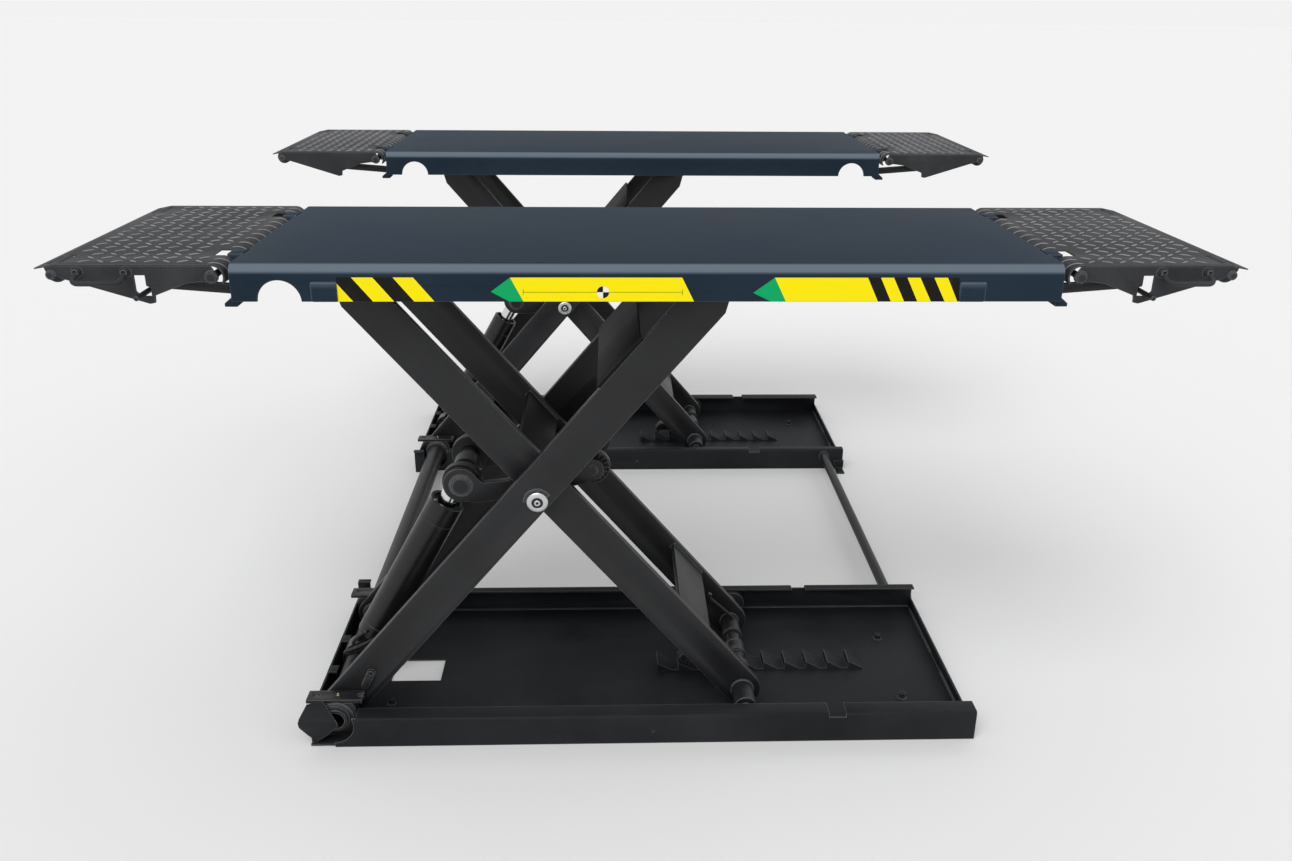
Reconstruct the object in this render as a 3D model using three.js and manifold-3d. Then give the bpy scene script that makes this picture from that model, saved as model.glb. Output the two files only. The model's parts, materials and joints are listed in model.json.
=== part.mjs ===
import * as THREE from "three";
import { mergeVertices } from "three/addons/utils/BufferGeometryUtils.js";
import Module from "manifold-3d";

// Short-rise scissor car lift in millimetres, shown raised.
// X runs along the platforms, Y across the two lifting units, Z up from the floor.
// One unit is drawn in its own frame, with y = 0 at the platform's outer skirt face,
// and the other unit is its mirror image across the middle of the lift.

// Scissor linkage, measured between pivot centres
const raisedAngle = THREE.MathUtils.degToRad(49.5);
const footPivotX = -630;
const pivotHeight = 50;
const centreDrop = 17;
const armSpan = 1172;
const centreShare = 0.53242;
const footToCentre = centreShare * armSpan;
const deckOverPivot = 55;

// Places of the two units
const deckLength = 1420;
const deckWidth = 550;
const unitGap = 840;

// Clearances
const seatGap = 0.3;
const slideGap = 0.8;
const cutOverrun = 5;
const sideDensity = 1.4;
const fewestSides = 8;

const deck = {
  plate: 5,
  skirtDepth: 64.5,
  edgeRadius: 18,
  notchRadius: 37,
  padLength: 44,
  padHeight: 34,
  padProud: 3,
  padInset: 157,
  tongueLength: 25,
  tongueWidth: 40,
  tongueInset: 80,
};

const track = { length: 540, start: -52, width: 24, wall: 4, inset: 58 };

const hingeLug = { inset: 108, thickness: 16, reach: 26, halfWidth: 34, pinRadius: 14 };

const outerArm = { width: 80, thickness: 16, inset: 86, chamferStart: 37, tipReach: 30, tipLow: -8, tipHigh: 22 };
const innerArm = { width: 78, thickness: 16, inset: 130, bossRadius: 28 };

const torsionTube = { radius: 25, bore: 18, inset: 36 };

const base = {
  left: -680,
  right: 675,
  outerInset: 17.5,
  innerInset: 8.6,
  plate: 4,
  leftWall: 66,
  rightWall: 30,
  tabLength: 25,
  tabReach: 20,
  tabInset: 185,
  tabPitch: 120,
  windowX: -559,
  windowLength: 109,
  windowInset: 240,
  windowWidth: 83,
};

const rail = {
  height: 66.2,
  wall: 4,
  outerFlange: 38,
  innerFlange: 24,
  bend: 6,
  footNotch: 40,
  flangeSetback: 4,
  entryStart: 372,
  entryLength: 34,
  entryDepth: 9,
};

const block = {
  length: 84,
  inset: 50,
  depth: 34,
  capLength: 112,
  capHeight: 8,
  top: 90,
  shift: -3,
  collarRadius: 30.5,
  collarDepth: 8,
};

const guard = {
  plate: 3,
  length: 68,
  left: -692,
  top: 90,
  kneeInset: 12,
  kneeHeight: 66,
  lowInset: 24,
  lowHeight: 13,
  wallPlay: 6,
};

// Shares of the corner guard's plate that its two folds gain on a slant
const guardFoldShares = { knee: 1.6, lip: 1.4 };

const rack = {
  start: 31,
  pitch: 48,
  count: 10,
  offset: 15,
  width: 50,
  foot: 3.5,
  toothHeight: 18,
  slopeLength: 34,
};

const pawl = {
  width: 26,
  hubRadius: 22,
  reach: 112,
  tipLength: 13,
  tipOver: 28,
  hookDepth: 14,
  neck: 15,
};

const axle = {
  radius: 17,
  sleeveRadius: 23,
  sleeveInset: 66,
  pinRadius: 10,
  collarRadius: 22,
  collarWidth: 7,
};
const slideBlock = { length: 96, width: 30, corner: 8 };

const topRoller = { radius: 25, width: 21, pinRadius: 10, washerRadius: 15, washerWidth: 3 };

const topPlate = { thickness: 7, fromTip: 174, length: 120 };
const innerPlate = { thickness: 9, rise: 22, lowerStart: 142, lowerLength: 100, upperPast: 18, upperLength: 88 };

const rocker = {
  reachX: -158.2,
  reachZ: -7.1,
  shortReachX: 104.5,
  shortReachZ: 24.6,
  plate: 16,
  halfSpan: 97,
  bossRadius: 36,
  shortBossRadius: 23,
  waistTop: -2,
  hipTop: 3,
  hipLow: -36,
  bellyLow: -45.5,
  hubRadius: 26,
  hubRim: 2,
  shaftRadius: 16,
  discRadius: 22,
  discWidth: 6,
  headRadius: 21,
  headProud: 3,
  pinRadius: 15,
  shortPinRadius: 10,
};

// Shares of the rocker's long reach at which its outline bends
const rockerBendShares = { waist: 0.72, belly: 0.8, hip: 0.42 };

// Angles, in degrees, that the rocker's outline wraps round its bosses and, to each side, round its hub
const bossWrap = { start: 25, end: 280, short: 90 };
const hubWrap = 25;

const wheel = { radius: 40, width: 16, shortRadius: 36, sleeveRadius: 15, grooveDepth: 6 };

// Shares of a wheel's radius that its hub and the inside of its rim reach
const wheelShares = { hub: 0.62, rim: 0.91 };

const cylinder = {
  footOffsetX: 6.1,
  footOffsetZ: 2.65,
  barrelRadius: 37.5,
  barrelStart: 62,
  glandReach: 90,
  glandLength: 16,
  glandRadius: 35,
  boreDepth: 180,
  footRadius: 39,
  footWidth: 40,
  footPlay: 7.2,
  footNeck: 26,
  rodRadius: 20,
  rodLength: 190,
  eyeRadius: 27,
  eyeWidth: 40,
};

const ramp = {
  hingeOut: 29,
  hingeDrop: 22.7,
  reach: 291,
  flat: 262,
  lipDrop: 6,
  plate: 4.5,
  inset: 4,
  skirt: 4,
  curlEnd: -35,
  pinRadius: 6,
  bossRadius: 11,
  tipBossRadius: 8,
  bossProud: 3,
  notchPlay: 4,
  notchReach: 19,
  tipX: 265,
  tipZ: 3.5,
  rollerRadius: 12,
  rollerStart: 18,
  rollerLength: 60,
  slotPlay: 2,
  axleRadius: 4,
};

const handle = { radius: 4.5, near: 141, length: 80, rootZ: 9, reach: 30, drop: 13, bend: 12, steps: 9, sides: 6 };

const prop = {
  pivotIn: 8,
  pivotHeight: 61,
  rodX: 150,
  rodZ: 12,
  inset: 66,
  plate: 8,
  halfHeight: 9,
  rodRadius: 4.5,
  rodProud: 38,
  pinRadius: 6,
  lugWidth: 20,
  lugPlate: 6,
  lugReach: 11,
};

const ductPipe = { radius: 12.5, x: 612, height: 45 };

// Linkage points in the raised position
const cosA = Math.cos(raisedAngle);
const sinA = Math.sin(raisedAngle);
const foot = { x: footPivotX, z: pivotHeight };
const centre = {
  x: foot.x + footToCentre * cosA + centreDrop * sinA,
  z: foot.z + footToCentre * sinA - centreDrop * cosA,
};
const slider = { x: 2 * centre.x - foot.x, z: foot.z };
const deckRoller = { x: foot.x + armSpan * cosA, z: foot.z + armSpan * sinA };
const deckHinge = { x: slider.x - armSpan * cosA, z: slider.z + armSpan * sinA };
const deckTop = deckRoller.z + deckOverPivot;
const deckUnder = deckTop - deck.plate;
const innerFace = deckWidth - base.innerInset;
const middleY = deckWidth / 2;
const rockerInset = middleY - rocker.halfSpan;
const pawlInset = middleY - pawl.width / 2;
const rackInset = middleY + rack.offset - rack.width / 2;

const wasm = await Module();
wasm.setup();

const steel = { color: 0x2b2d2f, roughness: 0.55, metalness: 0.3 };
const blue = { color: 0x3a4653, roughness: 0.42, metalness: 0.3 };
const plateGrey = { color: 0x3c3d3f, roughness: 0.6, metalness: 0.3 };
const chrome = { color: 0xc9ccd0, roughness: 0.15, metalness: 1.0 };
const polymer = { color: 0x1c1d1f, roughness: 0.7, metalness: 0.0 };

// Closed mesh to solid and back

function solidOf(geometry) {
  const bare = geometry.clone();
  bare.deleteAttribute("normal");
  bare.deleteAttribute("uv");
  const merged = mergeVertices(bare, 1e-4);
  return new wasm.Manifold(
    new wasm.Mesh({
      numProp: 3,
      vertProperties: Float32Array.from(merged.attributes.position.array),
      triVerts: Uint32Array.from(merged.index.array),
    }),
  );
}

function geometryOf(solid) {
  const made = solid.getMesh();
  const geometry = new THREE.BufferGeometry();
  geometry.setAttribute("position", new THREE.BufferAttribute(new Float32Array(made.vertProperties), 3));
  geometry.setIndex(new THREE.BufferAttribute(new Uint32Array(made.triVerts), 1));
  const flat = geometry.toNonIndexed();
  flat.computeVertexNormals();
  return flat;
}

// The joined pieces with the cutters taken away
function build(pieces, cutters = []) {
  let solid = solidOf(pieces[0]);
  for (const piece of pieces.slice(1)) {
    solid = solid.add(solidOf(piece));
  }
  for (const cutter of cutters) {
    solid = solid.subtract(solidOf(cutter));
  }
  return geometryOf(solid);
}

// Simple shapes

function outlineShape(points) {
  return new THREE.Shape(points.map(([a, b]) => new THREE.Vector2(a, b)));
}

// A plate with its outline in X and Z, from y0 to y1
function plateY(points, y0, y1) {
  const geometry = new THREE.ExtrudeGeometry(outlineShape(points), { depth: y1 - y0, bevelEnabled: false });
  geometry.rotateX(Math.PI / 2);
  geometry.translate(0, y1, 0);
  return geometry;
}

// A bar with its section in Y and Z, from x0 to x1
function barX(points, x0, x1) {
  const geometry = new THREE.ExtrudeGeometry(outlineShape(points), { depth: x1 - x0, bevelEnabled: false });
  const turn = new THREE.Matrix4().set(0, 0, 1, x0, 1, 0, 0, 0, 0, 1, 0, 0, 0, 0, 0, 1);
  geometry.applyMatrix4(turn);
  return geometry;
}

function box(x0, x1, y0, y1, z0, z1) {
  const geometry = new THREE.BoxGeometry(x1 - x0, y1 - y0, z1 - z0);
  geometry.translate((x0 + x1) / 2, (y0 + y1) / 2, (z0 + z1) / 2);
  return geometry;
}

// Sides of a round shape, more of them on a larger one
function sidesOf(radius) {
  return Math.max(fewestSides, 2 * Math.round(sideDensity * Math.sqrt(radius)));
}

function rodY(x, z, radius, y0, y1, sides = sidesOf(radius)) {
  const geometry = new THREE.CylinderGeometry(radius, radius, y1 - y0, sides);
  geometry.translate(x, (y0 + y1) / 2, z);
  return geometry;
}

// The cutter of a bore that clears a turning pin of this radius all round
function boreRadius(pinRadius) {
  return (pinRadius + seatGap) / Math.cos(Math.PI / sidesOf(pinRadius));
}

function boreY(x, z, pinRadius, y0, y1) {
  const start = Math.min(y0, y1) - cutOverrun;
  const end = Math.max(y0, y1) + cutOverrun;
  return rodY(x, z, boreRadius(pinRadius), start, end, sidesOf(pinRadius));
}

// A ring about the Y axis
function ringY(bore, radius, y0, y1) {
  const corners = [
    [radius, y0],
    [radius, y1],
    [bore, y1],
    [bore, y0],
    [radius, y0],
  ];
  return new THREE.LatheGeometry(
    corners.map(([r, y]) => new THREE.Vector2(r, y)),
    sidesOf(radius),
  );
}

// Points of an arc from angle a to angle b in degrees
function arc(cx, cz, radius, a, b) {
  const steps = Math.max(2, Math.round((sidesOf(radius) * Math.abs(b - a)) / 360));
  return Array.from({ length: steps + 1 }, (_, i) => {
    const angle = THREE.MathUtils.degToRad(a + ((b - a) * i) / steps);
    return [cx + radius * Math.cos(angle), cz + radius * Math.sin(angle)];
  });
}

function mirroredY(y0, y1) {
  return [
    [y0, y1],
    [deckWidth - y1, deckWidth - y0],
  ];
}

function mesh(name, geometry, finish) {
  const made = new THREE.Mesh(geometry, new THREE.MeshStandardMaterial(finish));
  made.name = name;
  return made;
}

// Base: floor plate, side rails, lock rack, bearing blocks and corner guard

function baseTray(name) {
  const y0 = base.outerInset + rail.wall + seatGap;
  const y1 = innerFace - rail.wall - seatGap;
  const floor = box(base.left, base.right, y0, y1, 0, base.plate);
  const wallStart = guard.lowInset + guard.wallPlay;
  const leftWall = box(base.left, base.left + base.plate, wallStart, y1, 0, base.leftWall);
  const rightWall = box(base.right - base.plate, base.right, y0, y1, 0, base.rightWall);
  const tabs = [0, 1].map((i) => {
    const y = base.tabInset + i * base.tabPitch;
    const reach = base.left + base.tabReach;
    return box(base.left, reach, y, y + base.tabLength, base.leftWall - base.plate, base.leftWall);
  });
  const window = box(
    base.windowX,
    base.windowX + base.windowLength,
    base.windowInset,
    base.windowInset + base.windowWidth,
    -cutOverrun,
    base.plate + cutOverrun,
  );
  return mesh(name, build([floor, leftWall, rightWall, ...tabs], [window]), steel);
}

// The rail's section starts at its outer face and its flange points into the base
function railSection(face, flange, side) {
  const at = (y, z) => [face + side * y, z];
  return [
    at(0, 0),
    ...arc(rail.bend, rail.height - rail.bend, rail.bend, 180, 90).map(([y, z]) => at(y, z)),
    at(flange, rail.height),
    at(flange, rail.height - rail.wall),
    at(rail.wall, rail.height - rail.wall),
    at(rail.wall, 0),
  ];
}

function sideRail(name, face, flange, side, start) {
  const bar = barX(railSection(face, flange, side), start, base.right);
  const y0 = Math.min(face, face + side * flange) - cutOverrun;
  const y1 = Math.max(face, face + side * flange) + cutOverrun;
  const footNotch = rodY(foot.x, foot.z, rail.footNotch, y0, y1);
  const flangeStart = foot.x + rail.footNotch + rail.flangeSetback;
  const inner = face + side * rail.wall;
  const flangeCut = box(
    start - cutOverrun,
    flangeStart,
    Math.min(inner, face + side * (flange + cutOverrun)),
    Math.max(inner, face + side * (flange + cutOverrun)),
    rail.height - rail.wall - seatGap,
    rail.height + cutOverrun,
  );
  const entry = box(
    rail.entryStart,
    rail.entryStart + rail.entryLength,
    y0,
    y1,
    rail.height - rail.entryDepth,
    rail.height + cutOverrun,
  );
  return mesh(name, build([bar], [footNotch, flangeCut, entry]), steel);
}

function lockRack(name) {
  const z0 = base.plate + seatGap;
  const points = [[rack.start, z0]];
  for (let i = 0; i < rack.count; i += 1) {
    const x = rack.start + i * rack.pitch;
    points.push([x, z0 + rack.foot]);
    points.push([x, z0 + rack.foot + rack.toothHeight]);
    points.push([x + rack.slopeLength, z0 + rack.foot]);
  }
  const end = rack.start + (rack.count - 1) * rack.pitch + rack.slopeLength;
  points.push([end, z0]);
  const outline = points.slice(1, -1);
  outline.unshift([rack.start, z0]);
  outline.push([end, z0]);
  return mesh(name, plateY(outline, rackInset, rackInset + rack.width), steel);
}

function bearingBlock(name, inner) {
  const place = (y0, y1) => mirroredY(y0, y1)[inner ? 1 : 0];
  const middle = foot.x + block.shift;
  const bodyTop = block.top - block.capHeight;
  const [b0, b1] = place(block.inset, block.inset + block.depth);
  const [c0, c1] = place(block.inset - block.collarDepth, block.inset + cutOverrun);
  const z0 = base.plate + seatGap;
  const body = box(middle - block.length / 2, middle + block.length / 2, b0, b1, z0, bodyTop + seatGap);
  const cap = box(middle - block.capLength / 2, middle + block.capLength / 2, b0, b1, bodyTop, block.top);
  const collar = rodY(foot.x, foot.z, block.collarRadius, c0, c1);
  const bore = boreY(foot.x, foot.z, torsionTube.radius, Math.min(b0, c0), Math.max(b1, c1));
  return mesh(name, build([body, cap, collar], [bore]), steel);
}

function cornerGuard(name) {
  const t = guard.plate;
  const seat = block.inset - seatGap;
  const section = [
    [seat, guard.top],
    [guard.kneeInset, guard.kneeHeight],
    [guard.lowInset, guard.lowHeight],
    [guard.lowInset + t, guard.lowHeight + t],
    [guard.kneeInset + guardFoldShares.knee * t, guard.kneeHeight - t / 2],
    [seat, guard.top - guardFoldShares.lip * t],
  ];
  return mesh(name, barX(section, guard.left, guard.left + guard.length), steel);
}

// Arms, drawn in a frame with the lower pivot at the origin and the span along +X

function armOutline(width, side) {
  const half = width / 2;
  const right = [
    ...arc(0, 0, half, 90, 270),
    [armSpan - outerArm.chamferStart, -half],
    [armSpan + outerArm.tipReach, outerArm.tipLow],
    [armSpan + outerArm.tipReach, outerArm.tipHigh],
    [armSpan + outerArm.tipReach / 2, half],
  ];
  return right.map(([x, z]) => [side * x, z]);
}

function outerArmMesh(name, rear) {
  const [y0, y1] = mirroredY(outerArm.inset, outerArm.inset + outerArm.thickness)[rear ? 1 : 0];
  const bar = plateY(armOutline(outerArm.width, 1), y0, y1);
  const bores = [
    boreY(0, 0, torsionTube.radius, y0, y1),
    boreY(footToCentre, -centreDrop, rocker.shaftRadius, y0, y1),
  ];
  const room = outerArm.inset - topRollerFace();
  const [p0, p1] = rear ? [y1 - cutOverrun, y1 + room] : [y0 - room, y0 + cutOverrun];
  const [w0, w1] = rear ? [y1 + room, y1 + room + topRoller.washerWidth] : [y0 - room - topRoller.washerWidth, y0 - room];
  const pin = rodY(armSpan, 0, topRoller.pinRadius, p0, p1);
  const washer = rodY(armSpan, 0, topRoller.washerRadius, w0 - (rear ? seatGap : 0), w1 + (rear ? 0 : seatGap));
  return mesh(name, build([bar, pin, washer], bores), steel);
}

// The outer face of the top roller, seen from the platform's skirt
function topRollerFace() {
  return outerArm.inset - seatGap - topRoller.width - seatGap;
}

function innerArmMesh(name, rear) {
  const [y0, y1] = mirroredY(innerArm.inset, innerArm.inset + innerArm.thickness)[rear ? 1 : 0];
  const pivot = { x: -footToCentre, z: -centreDrop };
  const bar = plateY(armOutline(innerArm.width, -1), y0, y1);
  const reach = innerArm.inset - outerArm.inset - outerArm.thickness - seatGap;
  const [s0, s1] = rear ? [y1 - cutOverrun, y1 + reach] : [y0 - reach, y0 + cutOverrun];
  const boss = rodY(pivot.x, pivot.z, innerArm.bossRadius, s0, s1);
  const b0 = Math.min(s0, y0);
  const b1 = Math.max(s1, y1);
  const bores = [
    boreY(pivot.x, pivot.z, rocker.shaftRadius, b0, b1),
    boreY(0, 0, axle.radius, b0, b1),
    boreY(-armSpan, 0, hingeLug.pinRadius, b0, b1),
  ];
  return mesh(name, build([bar, boss], bores), steel);
}

function topPlateMesh(name) {
  const y0 = outerArm.inset;
  const z0 = outerArm.width / 2 + seatGap;
  const x1 = armSpan - topPlate.fromTip;
  const plate = box(x1 - topPlate.length, x1, y0, deckWidth - y0, z0, z0 + topPlate.thickness);
  return mesh(name, plate, steel);
}

function innerPlateMesh(name, start, length) {
  const y0 = innerArm.inset + innerArm.thickness + seatGap;
  const z0 = innerPlate.rise;
  const plate = box(-start - length, -start, y0, deckWidth - y0, z0, z0 + innerPlate.thickness);
  return mesh(name, plate, steel);
}

// Rocker: centre shaft, two bent plates and the pins of its wheels

function bentPlate() {
  const { reachX, reachZ, shortReachX, shortReachZ } = rocker;
  const turn = THREE.MathUtils.radToDeg(Math.atan2(shortReachZ, shortReachX));
  const rim = rocker.hubRadius + rocker.hubRim;
  return [
    ...arc(reachX, reachZ, rocker.bossRadius, bossWrap.start, bossWrap.end),
    [reachX * rockerBendShares.belly, rocker.bellyLow],
    [reachX * rockerBendShares.hip, rocker.hipLow],
    ...arc(0, 0, rim, -90 - hubWrap, -90 + hubWrap),
    ...arc(shortReachX, shortReachZ, rocker.shortBossRadius, turn - bossWrap.short, turn + bossWrap.short),
    ...arc(0, 0, rim, 90 - hubWrap, 90 + hubWrap),
    [reachX * rockerBendShares.hip, rocker.hipTop],
    [reachX * rockerBendShares.waist, rocker.waistTop],
  ];
}

function rockerMesh(name) {
  const plates = mirroredY(rockerInset, rockerInset + rocker.plate).map(([y0, y1]) => plateY(bentPlate(), y0, y1));
  const hubStart = innerArm.inset + innerArm.thickness + seatGap;
  const shaftStart = outerArm.inset - seatGap - rocker.discWidth;
  const headStart = rockerInset - rocker.headProud;
  const eyeStart = (deckWidth - cylinder.eyeWidth) / 2 - seatGap - slideGap;
  const shaft = rodY(0, 0, rocker.shaftRadius, shaftStart, deckWidth - shaftStart);
  const hub = rodY(0, 0, rocker.hubRadius, hubStart, deckWidth - hubStart);
  const discs = mirroredY(shaftStart, shaftStart + rocker.discWidth).map(([y0, y1]) =>
    rodY(0, 0, rocker.discRadius, y0, y1),
  );
  const heads = mirroredY(headStart, eyeStart).map(([y0, y1]) =>
    rodY(rocker.reachX, rocker.reachZ, rocker.headRadius, y0, y1),
  );
  const pin = rodY(rocker.reachX, rocker.reachZ, rocker.pinRadius, headStart, deckWidth - headStart);
  const shortPin = rodY(
    rocker.shortReachX,
    rocker.shortReachZ,
    rocker.shortPinRadius,
    headStart,
    deckWidth - headStart,
  );
  return mesh(name, build([...plates, shaft, hub, ...discs, ...heads, pin, shortPin]), steel);
}

// The groove round a wheel's outer face
function wheelGroove(radius, y0, y1) {
  const depth = wheel.grooveDepth + cutOverrun;
  const start = y0 < middleY ? y0 - cutOverrun : y1 - wheel.grooveDepth;
  return ringY(radius * wheelShares.hub, radius * wheelShares.rim, start, start + depth);
}

// Where the two wheels of a pair stand
function wheelSpans() {
  const y0 = rockerInset + rocker.plate + slideGap;
  return mirroredY(y0, y0 + wheel.width);
}

function longWheel(name, rear) {
  const [a, b] = wheelSpans()[rear ? 1 : 0];
  const disc = rodY(0, 0, wheel.radius, a, b);
  const cutters = [boreY(0, 0, rocker.headRadius, a, b), wheelGroove(wheel.radius, a, b)];
  const made = mesh(name, build([disc], cutters), polymer);
  made.position.set(rocker.reachX, 0, rocker.reachZ);
  return made;
}

function shortWheel(name) {
  const spans = wheelSpans();
  const start = spans[0][0];
  const discs = spans.map(([a, b]) => rodY(0, 0, wheel.shortRadius, a, b));
  const grooves = spans.map(([a, b]) => wheelGroove(wheel.shortRadius, a, b));
  const sleeve = rodY(0, 0, wheel.sleeveRadius, start, deckWidth - start);
  const bore = boreY(0, 0, rocker.shortPinRadius, start, deckWidth - start);
  const made = mesh(name, build([...discs, sleeve], [bore, ...grooves]), polymer);
  made.position.set(rocker.shortReachX, 0, rocker.shortReachZ);
  return made;
}

// Cylinder, drawn with its upper eye at the origin and its foot along +X

function cylinderLength() {
  const dx = centre.x + rocker.reachX - foot.x - cylinder.footOffsetX;
  const dz = centre.z + rocker.reachZ - foot.z - cylinder.footOffsetZ;
  return { length: Math.hypot(dx, dz), angle: Math.atan2(-dz, -dx) };
}

function rodX(radius, x0, x1, y) {
  const geometry = new THREE.CylinderGeometry(radius, radius, x1 - x0, sidesOf(radius));
  geometry.rotateZ(Math.PI / 2);
  geometry.translate((x0 + x1) / 2, y, 0);
  return geometry;
}

function cylinderRod(name) {
  const middle = middleY;
  const half = cylinder.eyeWidth / 2;
  const rod = rodX(cylinder.rodRadius, rocker.pinRadius, cylinder.rodLength, middle);
  const eye = rodY(0, 0, cylinder.eyeRadius, middle - half, middle + half);
  const bore = boreY(0, 0, rocker.pinRadius, middle - half, middle + half);
  return mesh(name, build([rod, eye], [bore]), chrome);
}

function cylinderBarrel(name) {
  const middle = middleY;
  const { length } = cylinderLength();
  const half = cylinder.footWidth / 2;
  const end = length - cylinder.barrelStart;
  const barrel = rodX(cylinder.barrelRadius, cylinder.glandReach + cylinder.glandLength - seatGap, end, middle);
  const gland = rodX(cylinder.glandRadius, cylinder.glandReach, cylinder.glandReach + cylinder.glandLength, middle);
  const neck = box(end - cutOverrun, length, middle - half, middle + half, -cylinder.footNeck, cylinder.footNeck);
  const eye = rodY(length, 0, cylinder.footRadius, middle - half, middle + half);
  const bore = rodX(
    boreRadius(cylinder.rodRadius),
    cylinder.glandReach - cutOverrun,
    cylinder.glandReach + cylinder.boreDepth,
    middle,
  );
  const footBore = rodY(
    length,
    0,
    torsionTube.radius + cylinder.footPlay,
    middle - half - cutOverrun,
    middle + half + cutOverrun,
  );
  return mesh(name, build([barrel, gland, neck, eye], [bore, footBore]), steel);
}

// Bottom axle with its sleeves, pins and slide blocks, drawn at the lower end of the inner arms

function bottomAxle(name) {
  const armStart = innerArm.inset;
  const bar = rodY(0, 0, axle.radius, armStart - cutOverrun, deckWidth - armStart + cutOverrun);
  const sleeves = mirroredY(axle.sleeveInset, armStart - seatGap).map(([y0, y1]) =>
    rodY(0, 0, axle.sleeveRadius, y0, y1),
  );
  const pawlStart = pawlInset - slideGap;
  const pawlEnd = pawlInset + pawl.width + slideGap;
  const collars = [
    rodY(0, 0, axle.collarRadius, pawlStart - axle.collarWidth, pawlStart),
    rodY(0, 0, axle.collarRadius, pawlEnd, pawlEnd + axle.collarWidth),
  ];
  const outerStart = base.outerInset + rail.wall + slideGap;
  const innerEnd = innerFace - rail.wall - slideGap;
  const pin = rodY(0, 0, axle.pinRadius, outerStart + cutOverrun, innerEnd - cutOverrun);
  const low = base.plate + slideGap - slider.z;
  const high = rail.height - rail.wall - slideGap - slider.z;
  const half = slideBlock.length / 2;
  const c = slideBlock.corner;
  const outline = [
    [-half, low + c],
    [-half + c, low],
    [half - c, low],
    [half, low + c],
    [half, high - c],
    [half - c, high],
    [-half + c, high],
    [-half, high - c],
  ];
  const blocks = [
    plateY(outline, outerStart, outerStart + slideBlock.width),
    plateY(outline, innerEnd - slideBlock.width, innerEnd),
  ];
  return mesh(name, build([bar, ...sleeves, ...collars, pin, ...blocks]), steel);
}

function lockPawl(name) {
  const y0 = pawlInset;
  const y1 = pawlInset + pawl.width;
  const tipZ = pawl.tipOver - slider.z;
  const left = -pawl.reach - pawl.tipLength;
  const right = -pawl.reach;
  const outline = [
    [left, tipZ + pawl.hookDepth],
    [left + pawl.tipLength / 2, tipZ],
    [right, tipZ],
    [right, tipZ + pawl.hookDepth / 2],
    [0, -pawl.neck],
    [0, pawl.neck],
    [right, tipZ + pawl.hookDepth + pawl.neck],
    [left + pawl.tipLength / 2, tipZ + pawl.hookDepth + pawl.neck / 2],
  ];
  const arm = plateY(outline, y0, y1);
  const hub = rodY(0, 0, pawl.hubRadius, y0, y1);
  const bore = boreY(0, 0, axle.radius, y0, y1);
  return mesh(name, build([arm, hub], [bore]), steel);
}

function topRollerMesh(name, rear) {
  const y0 = topRollerFace() + seatGap;
  const [a, b] = mirroredY(y0, y0 + topRoller.width)[rear ? 1 : 0];
  const bore = boreRadius(topRoller.pinRadius);
  const made = mesh(name, ringY(bore, topRoller.radius, a, b), polymer);
  made.position.set(armSpan, 0, 0);
  return made;
}

// Platform, drawn with its top at z = 0

function deckMesh(name) {
  const t = deck.plate;
  const r = deck.edgeRadius;
  const low = -deck.skirtDepth;
  const half = deckLength / 2;
  const section = [
    [0, low],
    ...arc(r, -r, r, 180, 90),
    ...arc(deckWidth - r, -r, r, 90, 0),
    [deckWidth, low],
    [deckWidth - t, low],
    ...arc(deckWidth - r, -r, r - t, 0, 90),
    ...arc(r, -r, r - t, 90, 180),
    [t, low],
  ];
  const shell = barX(section, -half, half);
  const padEnd = low + deck.padHeight;
  const pads = [-1, 1].map((side) => {
    const x = side * (half - deck.padInset);
    return box(x - deck.padLength / 2, x + deck.padLength / 2, -deck.padProud, t, low, padEnd);
  });
  const rollerTop = deckRoller.z + topRoller.radius + seatGap - deckTop;
  const x0 = deckRoller.x + track.start;
  const tracks = mirroredY(track.inset, track.inset + track.width).flatMap(([y0, y1], i) => {
    const web = i === 0 ? [y0, y0 + track.wall] : [y1 - track.wall, y1];
    return [
      box(x0, x0 + track.length, y0, y1, rollerTop, rollerTop + track.wall),
      box(x0, x0 + track.length, ...web, rollerTop, -t + seatGap),
    ];
  });
  const hinge = { x: deckHinge.x, z: deckHinge.z - deckTop };
  const lugs = mirroredY(hingeLug.inset, hingeLug.inset + hingeLug.thickness).map(([y0, y1]) =>
    plateY(
      [
        [hinge.x - hingeLug.halfWidth, -t + seatGap],
        ...arc(hinge.x, hinge.z, hingeLug.reach, 180, 360),
        [hinge.x + hingeLug.halfWidth, -t + seatGap],
      ],
      y0,
      y1,
    ),
  );
  const pinEnd = innerArm.inset + innerArm.thickness + cutOverrun;
  const pins = mirroredY(hingeLug.inset, pinEnd).map(([y0, y1]) => rodY(hinge.x, hinge.z, hingeLug.pinRadius, y0, y1));
  const ends = [-1, 1].flatMap((side) => deckEnd(side));
  const notch = (x, inner) => {
    const y = inner ? deckWidth - t : 0;
    return rodY(x, low, deck.notchRadius, y - cutOverrun, y + t + cutOverrun);
  };
  const notches = [notch(foot.x, false), notch(foot.x, true), notch(-foot.x, true)];
  const bores = [-1, 1].map((side) =>
    boreY(side * (half + ramp.hingeOut), -ramp.hingeDrop, ramp.pinRadius, 0, deckWidth),
  );
  const made = build([shell, ...pads, ...tracks, ...lugs, ...pins, ...ends], [...notches, ...bores]);
  return mesh(name, made, blue);
}

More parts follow.
